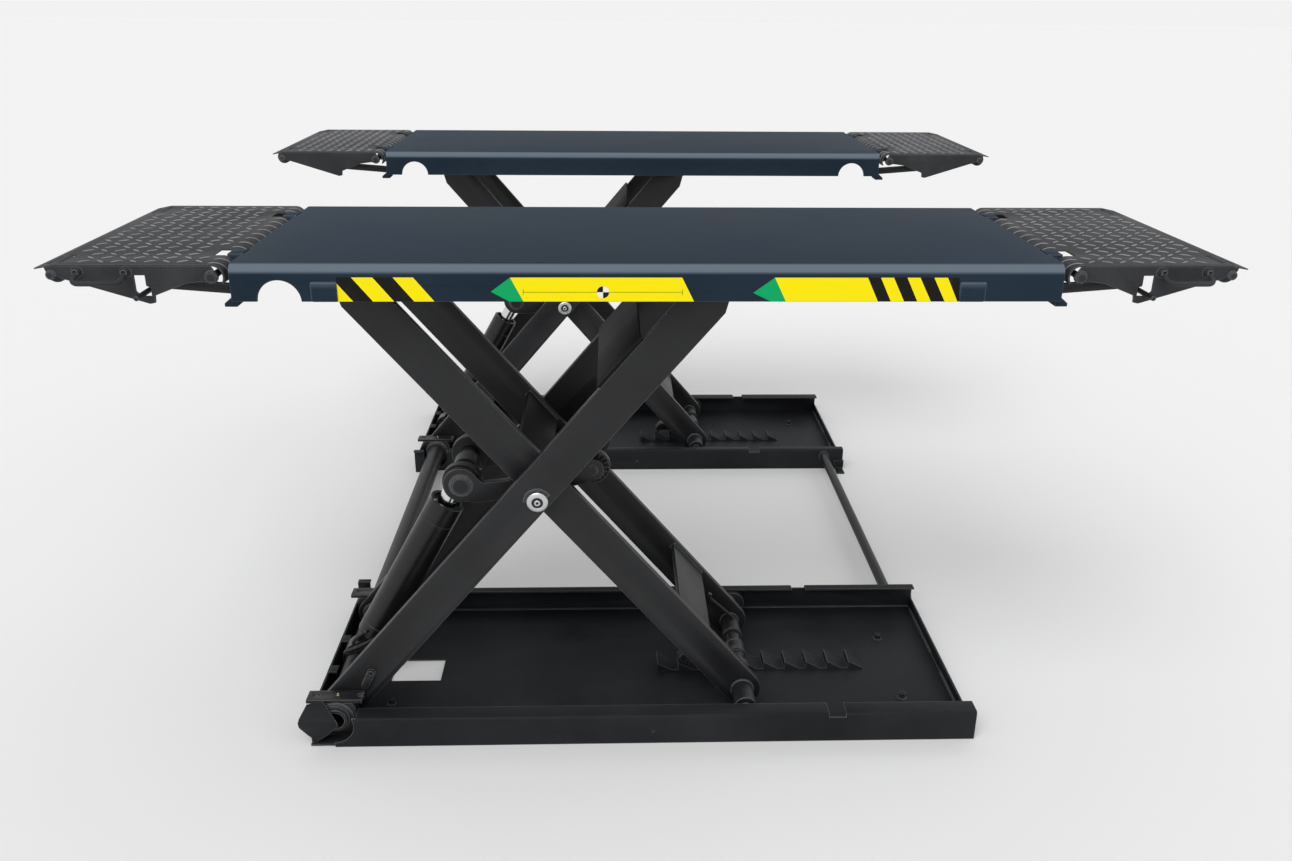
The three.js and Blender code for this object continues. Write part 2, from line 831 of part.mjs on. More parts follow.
// Tongues with the ramp's hinge knuckles, and the lugs and pins of the props
function deckEnd(side) {
  const half = deckLength / 2;
  const t = deck.plate;
  const hx = half + ramp.hingeOut;
  const knuckle = ramp.bossRadius;
  const knuckles = mirroredY(deck.tongueInset, deck.tongueInset + deck.tongueWidth).map(([y0, y1]) => {
    const outline = [
      [half - cutOverrun, 0],
      [half + deck.tongueLength, 0],
      [half + deck.tongueLength, -t],
      ...arc(hx, -ramp.hingeDrop, knuckle, 90, -90),
      [half - cutOverrun, -ramp.hingeDrop - knuckle / 2],
    ];
    return plateY(
      outline.map(([x, z]) => [side * x, z]),
      y0,
      y1,
    );
  });
  const px = half - prop.pivotIn;
  const lugStart = prop.inset + prop.plate + slideGap;
  const lugs = mirroredY(lugStart, lugStart + prop.lugPlate).map(([y0, y1]) => {
    const outline = [
      [px - prop.lugWidth / 2, -t + seatGap],
      [px + prop.lugWidth / 2 - prop.pivotIn / 2, -t + seatGap],
      ...arc(px, -prop.pivotHeight, prop.lugReach - prop.pivotIn / 2, 0, -180),
    ];
    return plateY(
      outline.map(([x, z]) => [side * x, z]),
      y0,
      y1,
    );
  });
  const pins = mirroredY(prop.inset - slideGap, lugStart + prop.lugPlate).map(([y0, y1]) =>
    rodY(side * px, -prop.pivotHeight, prop.pinRadius, y0, y1),
  );
  return [...knuckles, ...lugs, ...pins];
}

// Ramp, drawn with its hinge axis at the origin and its tip towards -X

function rampPlate() {
  const t = ramp.plate;
  const top = ramp.hingeDrop;
  return [
    ...arc(0, 0, top, ramp.curlEnd, 90),
    [-ramp.flat, top],
    [-ramp.reach, top - ramp.lipDrop],
    [-ramp.reach, top - ramp.lipDrop - t / 2],
    [-ramp.flat, top - t],
    ...arc(0, 0, top - t, 90, ramp.curlEnd),
  ];
}

// Share of the tip distance, and depth below the plate as a share of the deepest point
const rampSkirtShares = [
  [1.04, 0.0],
  [1.03, 0.13],
  [0.945, 0.32],
  [0.41, 1.0],
  [0.375, 0.97],
  [0.37, 0.78],
  [0.17, 0.46],
  [0.05, 0.4],
];
const rampSkirtDepth = 65;

// Window of the outer skirt that the prop's rod slides in, drawn about the rod's rest position
const rampWindow = { left: 16, right: 9, low: 6.5, rise: 8, foot: 3, top: 29, shoulder: 2 };

function rampWindowOutline() {
  const rod = rampRodPlace();
  const w = rampWindow;
  return [
    [rod.x - w.left + w.rise, rod.z - w.low],
    [rod.x + w.right, rod.z - w.low],
    [rod.x + w.right, rod.z + w.rise],
    [rod.x + w.shoulder, rod.z + w.rise + w.foot],
    [rod.x + w.shoulder, rod.z + w.top],
    [rod.x - w.left, rod.z + w.top],
    [rod.x - w.left, rod.z - w.low + w.rise],
  ];
}

// The prop rod's rest position in the ramp's frame
function rampRodPlace() {
  return {
    x: -(prop.rodX - ramp.hingeOut - prop.pivotIn),
    z: prop.rodZ - prop.pivotHeight + ramp.hingeDrop,
  };
}

function handlePath(y) {
  const h = handle;
  const x0 = -h.near - h.length;
  const x1 = -h.near;
  const at = (x, share) => new THREE.Vector3(x, y - share * h.reach, h.rootZ - share * h.drop);
  const turn = h.bend / h.reach;
  const path = new THREE.CurvePath();
  path.add(new THREE.LineCurve3(at(x0, -ramp.skirt / 2 / h.reach), at(x0, 1 - turn)));
  path.add(new THREE.QuadraticBezierCurve3(at(x0, 1 - turn), at(x0, 1), at(x0 + h.bend, 1)));
  path.add(new THREE.LineCurve3(at(x0 + h.bend, 1), at(x1 - h.bend, 1)));
  path.add(new THREE.QuadraticBezierCurve3(at(x1 - h.bend, 1), at(x1, 1), at(x1, 1 - turn)));
  path.add(new THREE.LineCurve3(at(x1, 1 - turn), at(x1, -ramp.skirt / 2 / h.reach)));
  return path;
}

function handleBar(y) {
  const section = new THREE.Shape();
  section.absarc(0, 0, handle.radius, 0, 2 * Math.PI, false);
  return new THREE.ExtrudeGeometry(section, {
    extrudePath: handlePath(y),
    steps: handle.steps,
    curveSegments: handle.sides / 2,
    bevelEnabled: false,
  });
}

function rampMesh(name) {
  const y0 = ramp.inset;
  const y1 = deckWidth - ramp.inset;
  const plate = plateY(rampPlate(), y0, y1);
  const underside = ramp.hingeDrop - ramp.plate + seatGap;
  const skirtOutline = [
    [0, underside],
    ...rampSkirtShares.map(([along, down]) => [-along * ramp.tipX, underside - down * rampSkirtDepth]),
    ...arc(0, 0, ramp.bossRadius, 250, 360),
  ];
  const skirts = mirroredY(y0, y0 + ramp.skirt).map(([a, b]) => plateY(skirtOutline, a, b));
  const bosses = mirroredY(y0 - ramp.bossProud, y0 + ramp.skirt).flatMap(([a, b]) => [
    rodY(0, 0, ramp.bossRadius, a, b),
    rodY(-ramp.tipX, ramp.tipZ, ramp.tipBossRadius, a, b),
  ]);
  const pin = rodY(0, 0, ramp.pinRadius, y0, y1);
  const rollers = mirroredY(ramp.rollerStart, ramp.rollerStart + ramp.rollerLength).map(([a, b]) =>
    rodY(-ramp.tipX, ramp.tipZ, ramp.rollerRadius, a, b),
  );
  const tipAxle = rodY(-ramp.tipX, ramp.tipZ, ramp.axleRadius, y0, y1);
  const tongueCuts = mirroredY(
    deck.tongueInset - ramp.notchPlay,
    deck.tongueInset + deck.tongueWidth + ramp.notchPlay,
  ).map(([a, b]) =>
    box(-ramp.notchReach, ramp.hingeDrop + cutOverrun, a, b, -ramp.hingeDrop, ramp.hingeDrop + cutOverrun),
  );
  const slotHalf = ramp.rollerRadius + ramp.slotPlay;
  const slots = mirroredY(
    ramp.rollerStart - ramp.slotPlay,
    ramp.rollerStart + ramp.rollerLength + ramp.slotPlay,
  ).map(([a, b]) =>
    box(-ramp.tipX - slotHalf, -ramp.tipX + slotHalf, a, b, ramp.tipZ, ramp.hingeDrop + cutOverrun),
  );
  const window = plateY(rampWindowOutline(), y0 - cutOverrun, y0 + ramp.skirt + cutOverrun);
  const shell = solidOf(build([plate, ...skirts], [...tongueCuts, ...slots, window]));
  const fittings = solidOf(build([...bosses, pin, tipAxle, ...rollers, handleBar(y0)]));
  return mesh(name, geometryOf(shell.add(fittings)), plateGrey);
}

// Prop, drawn with its pivot at the origin and its cross rod towards -X

function propMesh(name) {
  const h = prop.halfHeight;
  const slope = THREE.MathUtils.radToDeg(Math.atan2(prop.rodZ, -prop.rodX));
  const outline = [
    ...arc(-prop.rodX, prop.rodZ, h, slope - 90, slope + 90),
    ...arc(0, 0, h, slope + 90, slope + 270),
  ];
  const bars = mirroredY(prop.inset, prop.inset + prop.plate).map(([a, b]) => plateY(outline, a, b));
  const rodEnd = deckWidth - ramp.inset - ramp.skirt - slideGap;
  const rod = rodY(-prop.rodX, prop.rodZ, prop.rodRadius, -prop.rodProud, rodEnd);
  const bore = boreY(0, 0, prop.pinRadius, 0, deckWidth);
  return mesh(name, build([...bars, rod], [bore]), steel);
}

// One lifting unit

function liftingUnit(tag) {
  const unit = new THREE.Group();
  const named = (name) => tag + "_" + name;

  unit.add(baseTray(named("base_tray")));
  unit.add(sideRail(named("rail_outer"), base.outerInset, rail.outerFlange, 1, foot.x));
  unit.add(sideRail(named("rail_inner"), innerFace, rail.innerFlange, -1, base.left));
  unit.add(lockRack(named("lock_rack")));
  unit.add(bearingBlock(named("bearing_block_outer"), false));
  unit.add(bearingBlock(named("bearing_block_inner"), true));
  unit.add(cornerGuard(named("corner_guard")));

  const outerArms = new THREE.Group();
  outerArms.position.set(foot.x, 0, foot.z);
  outerArms.rotation.y = -raisedAngle;
  outerArms.add(outerArmMesh(named("outer_arm_front"), false));
  outerArms.add(outerArmMesh(named("outer_arm_rear"), true));
  outerArms.add(topPlateMesh(named("outer_cross_plate")));
  outerArms.add(topRollerMesh(named("top_roller_front"), false));
  outerArms.add(topRollerMesh(named("top_roller_rear"), true));
  unit.add(outerArms);

  const innerArms = new THREE.Group();
  innerArms.position.set(slider.x, 0, slider.z);
  innerArms.rotation.y = raisedAngle;
  innerArms.add(innerArmMesh(named("inner_arm_front"), false));
  innerArms.add(innerArmMesh(named("inner_arm_rear"), true));
  innerArms.add(innerPlateMesh(named("inner_cross_plate_low"), innerPlate.lowerStart, innerPlate.lowerLength));
  innerArms.add(innerPlateMesh(named("inner_cross_plate_high"), footToCentre + innerPlate.upperPast, innerPlate.upperLength));
  unit.add(innerArms);

  const rockerGroup = new THREE.Group();
  rockerGroup.position.set(centre.x, 0, centre.z);
  rockerGroup.add(rockerMesh(named("rocker")));
  rockerGroup.add(longWheel(named("rocker_wheel_front"), false));
  rockerGroup.add(longWheel(named("rocker_wheel_rear"), true));
  rockerGroup.add(shortWheel(named("rocker_wheel_short")));
  unit.add(rockerGroup);

  const ram = new THREE.Group();
  ram.position.set(centre.x + rocker.reachX, 0, centre.z + rocker.reachZ);
  ram.rotation.y = -cylinderLength().angle;
  ram.add(cylinderRod(named("cylinder_rod")));
  ram.add(cylinderBarrel(named("cylinder_barrel")));
  unit.add(ram);

  const carriage = new THREE.Group();
  carriage.position.set(slider.x, 0, slider.z);
  carriage.add(bottomAxle(named("bottom_axle")));
  carriage.add(lockPawl(named("lock_pawl")));
  unit.add(carriage);

  const platform = new THREE.Group();
  platform.position.set(0, 0, deckTop);
  platform.add(deckMesh(named("deck")));
  for (const [side, word] of [
    [1, "left"],
    [-1, "right"],
  ]) {
    const end = new THREE.Group();
    end.scale.x = side;
    const rampPiece = rampMesh(named("ramp_" + word));
    rampPiece.position.set(-deckLength / 2 - ramp.hingeOut, 0, -ramp.hingeDrop);
    const propPiece = propMesh(named("prop_" + word));
    propPiece.position.set(-deckLength / 2 + prop.pivotIn, 0, -prop.pivotHeight);
    end.add(rampPiece);
    end.add(propPiece);
    platform.add(end);
  }
  unit.add(platform);
  return unit;
}

// Shared pieces that run across both units

function torsionTubeMesh(name) {
  const reach = unitGap / 2 + deckWidth - torsionTube.inset;
  const tube = ringY(torsionTube.bore, torsionTube.radius, -reach, reach);
  const made = mesh(name, tube, steel);
  made.position.set(foot.x, 0, foot.z);
  return made;
}

function ductPipeMesh(name) {
  const reach = unitGap / 2 + base.innerInset - seatGap;
  const pipe = rodY(ductPipe.x, ductPipe.height, ductPipe.radius, -reach, reach);
  return mesh(name, pipe, steel);
}

const lift = new THREE.Group();
lift.add(torsionTubeMesh("torsion_tube"));
lift.add(ductPipeMesh("duct_pipe"));

const nearUnit = liftingUnit("near");
nearUnit.position.y = -unitGap / 2 - deckWidth;
lift.add(nearUnit);

const farUnit = liftingUnit("far");
farUnit.scale.y = -1;
farUnit.position.y = unitGap / 2 + deckWidth;
lift.add(farUnit);

export default lift;
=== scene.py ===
"""Short-rise scissor car lift, raised: two mirrored units with blue grey platforms on black arms."""

import json
from math import atan2, cos, degrees, hypot, pi, radians, sin

import bmesh
import bpy
from mathutils import Matrix, Vector

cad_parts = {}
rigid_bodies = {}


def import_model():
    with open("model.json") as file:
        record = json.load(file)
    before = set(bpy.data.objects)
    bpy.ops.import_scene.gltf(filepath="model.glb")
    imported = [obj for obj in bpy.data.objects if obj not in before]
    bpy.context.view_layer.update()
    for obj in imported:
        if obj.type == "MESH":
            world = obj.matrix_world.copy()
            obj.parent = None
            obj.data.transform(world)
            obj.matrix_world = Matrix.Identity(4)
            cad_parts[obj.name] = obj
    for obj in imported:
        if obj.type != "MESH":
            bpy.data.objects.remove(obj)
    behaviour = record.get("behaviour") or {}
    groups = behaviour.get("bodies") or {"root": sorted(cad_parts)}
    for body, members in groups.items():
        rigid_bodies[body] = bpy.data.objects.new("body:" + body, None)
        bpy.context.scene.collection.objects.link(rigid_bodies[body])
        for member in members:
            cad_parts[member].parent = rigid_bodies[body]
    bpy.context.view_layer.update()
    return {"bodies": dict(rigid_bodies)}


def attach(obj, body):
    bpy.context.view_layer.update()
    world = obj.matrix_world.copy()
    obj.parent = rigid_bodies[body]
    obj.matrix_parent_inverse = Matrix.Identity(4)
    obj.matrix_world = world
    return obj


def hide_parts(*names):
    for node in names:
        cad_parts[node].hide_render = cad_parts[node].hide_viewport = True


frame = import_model()

# Driving sizes in millimetres, in one unit's own frame: x along the platform, y = 0 at its outer skirt
RAISED = radians(49.5)
ARM_SPAN = 1172.0
TO_CENTRE = 0.53242 * ARM_SPAN
CENTRE_DROP = 17.0
FOOT = (-630.0, 50.0)
DECK_OVER_PIVOT = 55.0
DECK_LENGTH = 1420.0
DECK_WIDTH = 550.0
UNIT_GAP = 840.0
HINGE_OUT, HINGE_DOWN = 29.0, 22.7
PROP_IN, PROP_DOWN = 8.0, 61.0

MIDDLE = DECK_WIDTH / 2
DECK_HALF = DECK_LENGTH / 2
# the far unit's outer skirt in the near unit's frame
FAR_SKIRT = UNIT_GAP + 2 * DECK_WIDTH
CENTRE = (
    FOOT[0] + TO_CENTRE * cos(RAISED) + CENTRE_DROP * sin(RAISED),
    FOOT[1] + TO_CENTRE * sin(RAISED) - CENTRE_DROP * cos(RAISED),
)
SLIDER = (2 * CENTRE[0] - FOOT[0], FOOT[1])
TOP_ROLLER = (FOOT[0] + ARM_SPAN * cos(RAISED), FOOT[1] + ARM_SPAN * sin(RAISED))
TOP_HINGE = (SLIDER[0] - ARM_SPAN * cos(RAISED), SLIDER[1] + ARM_SPAN * sin(RAISED))
DECK_TOP = TOP_ROLLER[1] + DECK_OVER_PIVOT
LONG_REACH = (-158.2, -7.1)
SHORT_REACH = (104.5, 24.6)
LONG_PIN = (CENTRE[0] + LONG_REACH[0], CENTRE[1] + LONG_REACH[1])
RAM_FOOT = (FOOT[0] + 6.1, FOOT[1] + 2.65)
RAMP_HINGE = (-DECK_HALF - HINGE_OUT, -HINGE_DOWN)
PROP_PIVOT = (-DECK_HALF + PROP_IN, -PROP_DOWN)


# Colours and materials


def linear(code):
    """The linear colour of an sRGB hex value."""
    parts = [int(code[i : i + 2], 16) / 255 for i in (1, 3, 5)]
    return tuple(c / 12.92 if c <= 0.04045 else ((c + 0.055) / 1.055) ** 2.4 for c in parts) + (1.0,)


def add(tree, kind, settings=None, links=None):
    """Adds a node with its settings and links, and returns it."""
    node = tree.nodes.new("ShaderNode" + kind)
    for name, value in (settings or {}).items():
        if isinstance(name, int) or name in node.inputs:
            node.inputs[name].default_value = value
        else:
            setattr(node, name, value)
    for name, source in (links or {}).items():
        tree.links.new(source, node.inputs[name])
    return node


def new_object(name, data):
    """An object with its data, put into the scene."""
    thing = bpy.data.objects.new(name, data)
    bpy.context.scene.collection.objects.link(thing)
    return thing


def new_material(name, finish):
    """A node material with its tree and its shader, on whose own sockets the finish's constants are set."""
    material = bpy.data.materials.new(name)
    material.use_nodes = True
    shader = material.node_tree.nodes["Principled BSDF"]
    for socket, value in finish.items():
        shader.inputs[socket].default_value = value
    return material, material.node_tree, shader


def ramp_colours(node, stops):
    """Sets a colour ramp's stops from (position, hex) pairs."""
    elements = node.color_ramp.elements
    while len(elements) < len(stops):
        elements.new(0.5)
    for element, (position, code) in zip(elements, stops):
        element.position = position
        element.color = linear(code)


# how far in from an edge the paler band of wear and painted highlight reaches, and how deep its orange peel
# is, in metres
WEAR_AND_HIGHLIGHT_REACH, PEEL = 0.003, 0.0004


def powder_coat(
    name, dark, light, rough, gloss, grain_mm, depth, cloud_mm=180, spread=0.14, edge=None, rolled=None
):
    """A coat or moulded skin: cloudy between two tones, with orange peel, edges paler from wear and a painted
    highlight, and a painted highlight along rolled edges where asked.
    """
    material, tree, shader = new_material(name, {"Specular IOR Level": gloss})
    place = {"Vector": add(tree, "TexCoord").outputs["Object"]}
    # clouds of slightly different tone, as big as cloud_mm
    clouds = {"Scale": 1000 / cloud_mm, "Detail": 5.0, "Roughness": 0.6}
    cloud = add(tree, "TexNoise", clouds, place).outputs["Fac"]
    # the coat's grain, grain_mm across, gives a little salt and pepper and the bump of its orange peel
    grain = add(tree, "TexNoise", {"Scale": 1000 / grain_mm, "Detail": 3.0}, place).outputs["Fac"]
    blend = add(tree, "Mix", {"data_type": "FLOAT", "Factor": 0.35}, {2: cloud, 3: grain})
    tone = add(tree, "ValToRGB", {}, {"Fac": blend.outputs[0]})
    ramp_colours(tone, [(0.5 - spread, dark), (0.5 + spread, light)])
    bump = add(tree, "Bump", {"Strength": depth, "Distance": PEEL}, {"Height": grain})
    colour = tone.outputs["Color"]
    if edge:
        # a rounded normal differs from the flat one only near an edge, where the coat is painted paler: part
        # wear, part painted highlight
        rounded = add(tree, "Bevel", {"samples": 6, "Radius": WEAR_AND_HIGHLIGHT_REACH}).outputs["Normal"]
        flat = add(tree, "NewGeometry").outputs["Normal"]
        same = add(tree, "VectorMath", {"operation": "DOT_PRODUCT"}, {0: rounded, 1: flat})
        wear_and_highlight_range = {"From Min": 0.985, "From Max": 0.8, "To Min": 0.0, "To Max": 0.75}
        wear_and_highlight = add(tree, "MapRange", wear_and_highlight_range, {"Value": same.outputs["Value"]}).outputs["Result"]
        mixed = {"data_type": "RGBA", 7: linear(edge)}
        colour = add(tree, "Mix", mixed, {"Factor": wear_and_highlight, 6: colour}).outputs[2]
    if rolled:
        # a painted highlight along rolled edges: skin that faces neither up nor sideways is painted paler, as
        # if light caught it there
        normal = add(tree, "NewGeometry").outputs["Normal"]
        upward = add(tree, "SeparateXYZ", {}, {"Vector": normal}).outputs["Z"]
        band = add(tree, "ValToRGB", {}, {"Fac": upward})
        ramp_colours(band, [(0.08, "#000000"), (0.35, "#ffffff"), (0.86, "#ffffff"), (0.985, "#000000")])
        mixed = {"data_type": "RGBA", 7: linear(rolled)}
        colour = add(tree, "Mix", mixed, {"Factor": band.outputs["Color"], 6: colour}).outputs[2]
    tree.links.new(colour, shader.inputs["Base Color"])
    tree.links.new(bump.outputs["Normal"], shader.inputs["Normal"])
    dull = {"From Min": 0.3, "From Max": 0.7, "To Min": rough - 0.06, "To Max": rough + 0.06}
    shine = add(tree, "MapRange", dull, {"Value": cloud})
    tree.links.new(shine.outputs["Result"], shader.inputs["Roughness"])
    return material


# In every coat here, edge is the colour of a paler band along edges and weld beads: part wear, part painted
# highlight
# Satin black powder coat on welded steel: dark and even, with grey along edges and weld beads that is part
# wear and part painted highlight
black_coat = powder_coat(
    "satin_black_powder_coat", "#151517", "#222325",
    rough=0.46, gloss=0.34, grain_mm=1.8, depth=0.35, edge="#8c8e90",
)
# The same coat on the base, where dust leaves it a shade bluer and duller
floor_coat = powder_coat(
    "dull_black_powder_coat", "#191a1d", "#292b2e",
    rough=0.55, gloss=0.12, grain_mm=2.2, depth=0.35, cloud_mm=260, edge="#808286",
)
# A darker copy of the black coat for the tie plates under the platforms: painted shade
shaded_coat = powder_coat(
    "shade_darkened_black_powder_coat", "#0c0c0d", "#151516",
    rough=0.6, gloss=0.1, grain_mm=1.8, depth=0.3, edge="#5a5b5c",
)
# Oil-wet black enamel on the cylinder: the darkest piece, with a clear highlight down its length
ram_enamel = powder_coat(
    "oily_black_cylinder_enamel", "#0b0b0c", "#131314",
    rough=0.34, gloss=0.42, grain_mm=6, depth=0.08, cloud_mm=90, edge="#505254",
)
# Blue grey powder coat on the platforms: smooth and dull on top, with a painted highlight along its rolled
# edges
deck_coat = powder_coat(
    "blue_grey_powder_coat", "#1f2b36", "#2b3845",
    rough=0.55, gloss=0.02, grain_mm=2.6, depth=0.14, cloud_mm=420, spread=0.16,
    edge="#6b7886", rolled="#66717d",
)
# Black powder coat on tear plate, scuffed grey by tyres
tread_coat = powder_coat(
    "black_coated_tear_plate", "#2c2d2f", "#404144",
    rough=0.55, gloss=0.08, grain_mm=1.6, depth=0.3, cloud_mm=120, edge="#808184",
)
# The tops of the plate's lugs, where tyres have polished the coat: smoother, and paler partly from that wear
# and partly as a painted highlight
lug_wear_and_highlight_coat = powder_coat(
    "tyre_worn_and_highlit_lug_coat", "#6c6d70", "#98999c",
    rough=0.45, gloss=0.4, grain_mm=2.0, depth=0.2, cloud_mm=60,
)
# Cast nylon rollers: dull black with a faint moulded grain, drawn coarse enough to show
nylon = powder_coat(
    "black_cast_nylon", "#141516", "#1f2021",
    rough=0.5, gloss=0.4, grain_mm=3.0, depth=0.2, cloud_mm=30, edge="#5a5b5c",
)


def metal(name, code, rough, streak_mm, stretch, spread):
    """A bare or plated metal with fine marks; stretch draws them out along an axis."""
    material, tree, shader = new_material(name, {"Metallic": 1.0, "Base Color": linear(code)})
    place = add(tree, "TexCoord").outputs["Object"]
    scaled = add(tree, "Mapping", {"Scale": stretch}, {"Vector": place}).outputs["Vector"]
    marks = add(tree, "TexNoise", {"Scale": 1000 / streak_mm, "Detail": 4.0}, {"Vector": scaled})
    dull = {"From Min": 0.3, "From Max": 0.7, "To Min": rough - spread, "To Max": rough + spread}
    shine = add(tree, "MapRange", dull, {"Value": marks.outputs["Fac"]})
    tree.links.new(shine.outputs["Result"], shader.inputs["Roughness"])
    return material


# Hard chrome, ground and polished: mirror like, its fine hairlines drawn coarse enough to show
hard_chrome = metal("ground_hard_chrome", "#d6d8da", 0.14, 6, (1.0, 1.0, 0.2), 0.05)
# Zinc plate on turned steel: pale, a little cloudy
zinc_plate = metal("zinc_plated_steel", "#c9cbcc", 0.38, 5, (1.0, 1.0, 1.0), 0.09)
# Turned brass fittings: small, pale yellow, a little dull
brass = metal("turned_brass", "#b0a888", 0.35, 4, (1.0, 1.0, 1.0), 0.08)

DUST_MM = 25


def vinyl(name, code):
    """A printed vinyl film: even colour under a clear face, with faint dust."""
    material, tree, shader = new_material(name, {"Roughness": 0.5, "Specular IOR Level": 0.12})
    place = add(tree, "TexCoord").outputs["Object"]
    dust = add(tree, "TexNoise", {"Scale": 1000 / DUST_MM, "Detail": 6.0}, {"Vector": place})
    thin = {"From Min": 0.55, "From Max": 1.0, "To Min": 0.0, "To Max": 0.06}
    share = add(tree, "MapRange", thin, {"Value": dust.outputs["Fac"]}).outputs["Result"]
    dusty = {"data_type": "RGBA", 6: linear(code), 7: linear("#8a8a86")}
    film_colour = add(tree, "Mix", dusty, {"Factor": share}).outputs[2]
    tree.links.new(film_colour, shader.inputs["Base Color"])
    return material


film_yellow = vinyl("yellow_vinyl_film", "#fdea00")
film_black = vinyl("black_vinyl_film", "#161514")
film_green = vinyl("green_vinyl_film", "#05a862")
film_white = vinyl("white_vinyl_film", "#eeeeea")


# Mesh builders, in millimetres


def ring_of(x, z, radius, a=0.0, b=360.0, steps=48):
    """Points of an arc from angle a to angle b in degrees; a full turn leaves out the double end."""
    count = steps if abs(b - a) >= 360 else steps + 1
    angles = [radians(a + (b - a) * i / steps) for i in range(count)]
    return [(x + radius * cos(t), z + radius * sin(t)) for t in angles]


def hole(x, z, radius):
    """The outline of a round hole."""
    return ring_of(x, z, radius, steps=40)


def soften(bm, edge, least=30.0):
    """Rounds every edge where two faces meet at more than the least angle, and returns the mesh."""
    least = radians(least)
    sharp = [e for e in bm.edges if len(e.link_faces) == 2 and e.calc_face_angle(0.0) > least]
    if edge > 0:
        rounding = {"offset": edge, "segments": 2, "profile": 0.5, "clamp_overlap": True}
        bmesh.ops.bevel(bm, geom=sharp, affect="EDGES", **rounding)
    return bm


def outward(bm):
    """Turns the faces of a closed mesh outwards."""
    bmesh.ops.recalc_face_normals(bm, faces=bm.faces[:])
    return bm


def prism(rings, start, end, axis="y", edge=1.0):
    """A flat profile with holes, drawn out along an axis, with its sharp edges rounded."""
    bm = bmesh.new()
    for ring in rings:
        verts = [bm.verts.new((a, start, b) if axis == "y" else (start, a, b)) for a, b in ring]
        for i, vert in enumerate(verts):
            bm.edges.new((vert, verts[(i + 1) % len(verts)]))
    bmesh.ops.triangle_fill(bm, use_beauty=True, use_dissolve=True, edges=bm.edges[:])
    grown = bmesh.ops.extrude_face_region(bm, geom=bm.faces[:], use_keep_orig=True)
    far_end = [item for item in grown["geom"] if isinstance(item, bmesh.types.BMVert)]
    step = (0, end - start, 0) if axis == "y" else (end - start, 0, 0)
    bmesh.ops.translate(bm, verts=far_end, vec=step)
    return soften(outward(bm), edge)


def block(x0, x1, y0, y1, z0, z1, edge=1.0):
    """A flat bar or plate with rounded edges."""
    return prism([[(x0, z0), (x1, z0), (x1, z1), (x0, z1)]], y0, y1, edge=edge)


def turned(x, z, profile, steps=64):
    """A turned piece about a Y axis through x and z, from closed (radius, y) points."""
    bm = bmesh.new()
    loops = []
    for i in range(steps):
        angle = 2 * pi * i / steps
        dx, dz = cos(angle), sin(angle)
        loops.append([bm.verts.new((x + r * dx, y, z + r * dz)) if r > 1e-6 else None for r, y in profile])
    centres = {j: bm.verts.new((x, y, z)) for j, (r, y) in enumerate(profile) if r <= 1e-6}
    for i in range(steps):
        here, there = loops[i], loops[(i + 1) % steps]
        for j in range(len(profile)):
            k = (j + 1) % len(profile)
            corners = []
            for loop, index in ((here, j), (here, k), (there, k), (there, j)):
                vert = loop[index] or centres[index]
                if vert not in corners:
                    corners.append(vert)
            if len(corners) > 2:
                bm.faces.new(corners)
    return outward(bm)


def chamfered(bore, radius, y0, y1, c):
    """Half the section of a bar or ring."""
    return [(bore, y0), (radius - c, y0), (radius, y0 + c), (radius, y1 - c), (radius - c, y1), (bore, y1)]


def pin(x, z, radius, y0, y1, chamfer=1.2, steps=48):
    """A round bar along Y with chamfered ends."""
    return turned(x, z, chamfered(0, radius, y0, y1, min(chamfer, radius / 2, (y1 - y0) / 2.5)), steps)


def sleeve(x, z, bore, radius, y0, y1, chamfer=1.0):
    """A ring along Y with chamfered outer edges."""
    return turned(x, z, chamfered(bore, radius, y0, y1, min(chamfer, (y1 - y0) / 3)))


def moved(bm, matrix):
    """The mesh, placed by a matrix."""
    bmesh.ops.transform(bm, matrix=matrix, verts=bm.verts[:])
    return bm


def stood(bm, x, y, z=0.0):
    """Stands a piece that is drawn along Y upright, with its axis through x and y."""
    return moved(bm, Matrix.Translation((x, y, z)) @ Matrix.Rotation(pi / 2, 4, "X"))


def pin_up(x, y, radius, z0, z1, chamfer=0.8, steps=32):
    """A round bar standing upright."""
    return stood(pin(0, 0, radius, z0, z1, chamfer, steps), x, y)


def hexagon(x, z, across_flats, y0, y1, lean=0.0):
    """A hexagonal bolt head along Y."""
    radius = across_flats / 2 / cos(pi / 6)
    return prism([ring_of(x, z, radius, lean, lean + 360, 6)], y0, y1, edge=0.7)


def stitch(bm, loops):
    """Closes the skin between rings of points that follow each other."""
    for here, there in zip(loops, loops[1:]):
        for k in range(len(here)):
            n = (k + 1) % len(here)
            bm.faces.new((here[k], here[n], there[n], there[k]))


def swept(points, radius, steps=16, lumps=0.0):
    """A round bar along a line of points; lumps swell and thin it like a weld bead."""
    bm = bmesh.new()
    points = [Vector(p) for p in points]
    loops = []
    normal = None
    for i, point in enumerate(points):
        ahead = points[min(i + 1, len(points) - 1)] - points[max(i - 1, 0)]
        ahead.normalize()
        if normal is None:
            normal = ahead.orthogonal().normalized()
        normal = (normal - ahead * normal.dot(ahead)).normalized()
        side = ahead.cross(normal)
        r = radius * (1 + lumps * sin(2.4 * i) + lumps * 0.6 * sin(1.1 * i + 0.7))
        angles = [2 * pi * k / steps for k in range(steps)]
        places = [point + r * cos(t) * normal + r * sin(t) * side for t in angles]
        loops.append([bm.verts.new(place) for place in places])
    stitch(bm, loops)
    bm.faces.new(loops[0])
    bm.faces.new(list(reversed(loops[-1])))
    return outward(bm)


# a weld bead's ripples: how far apart in millimetres, and how much they swell
RIPPLE, SWELL = 3.5, 0.16


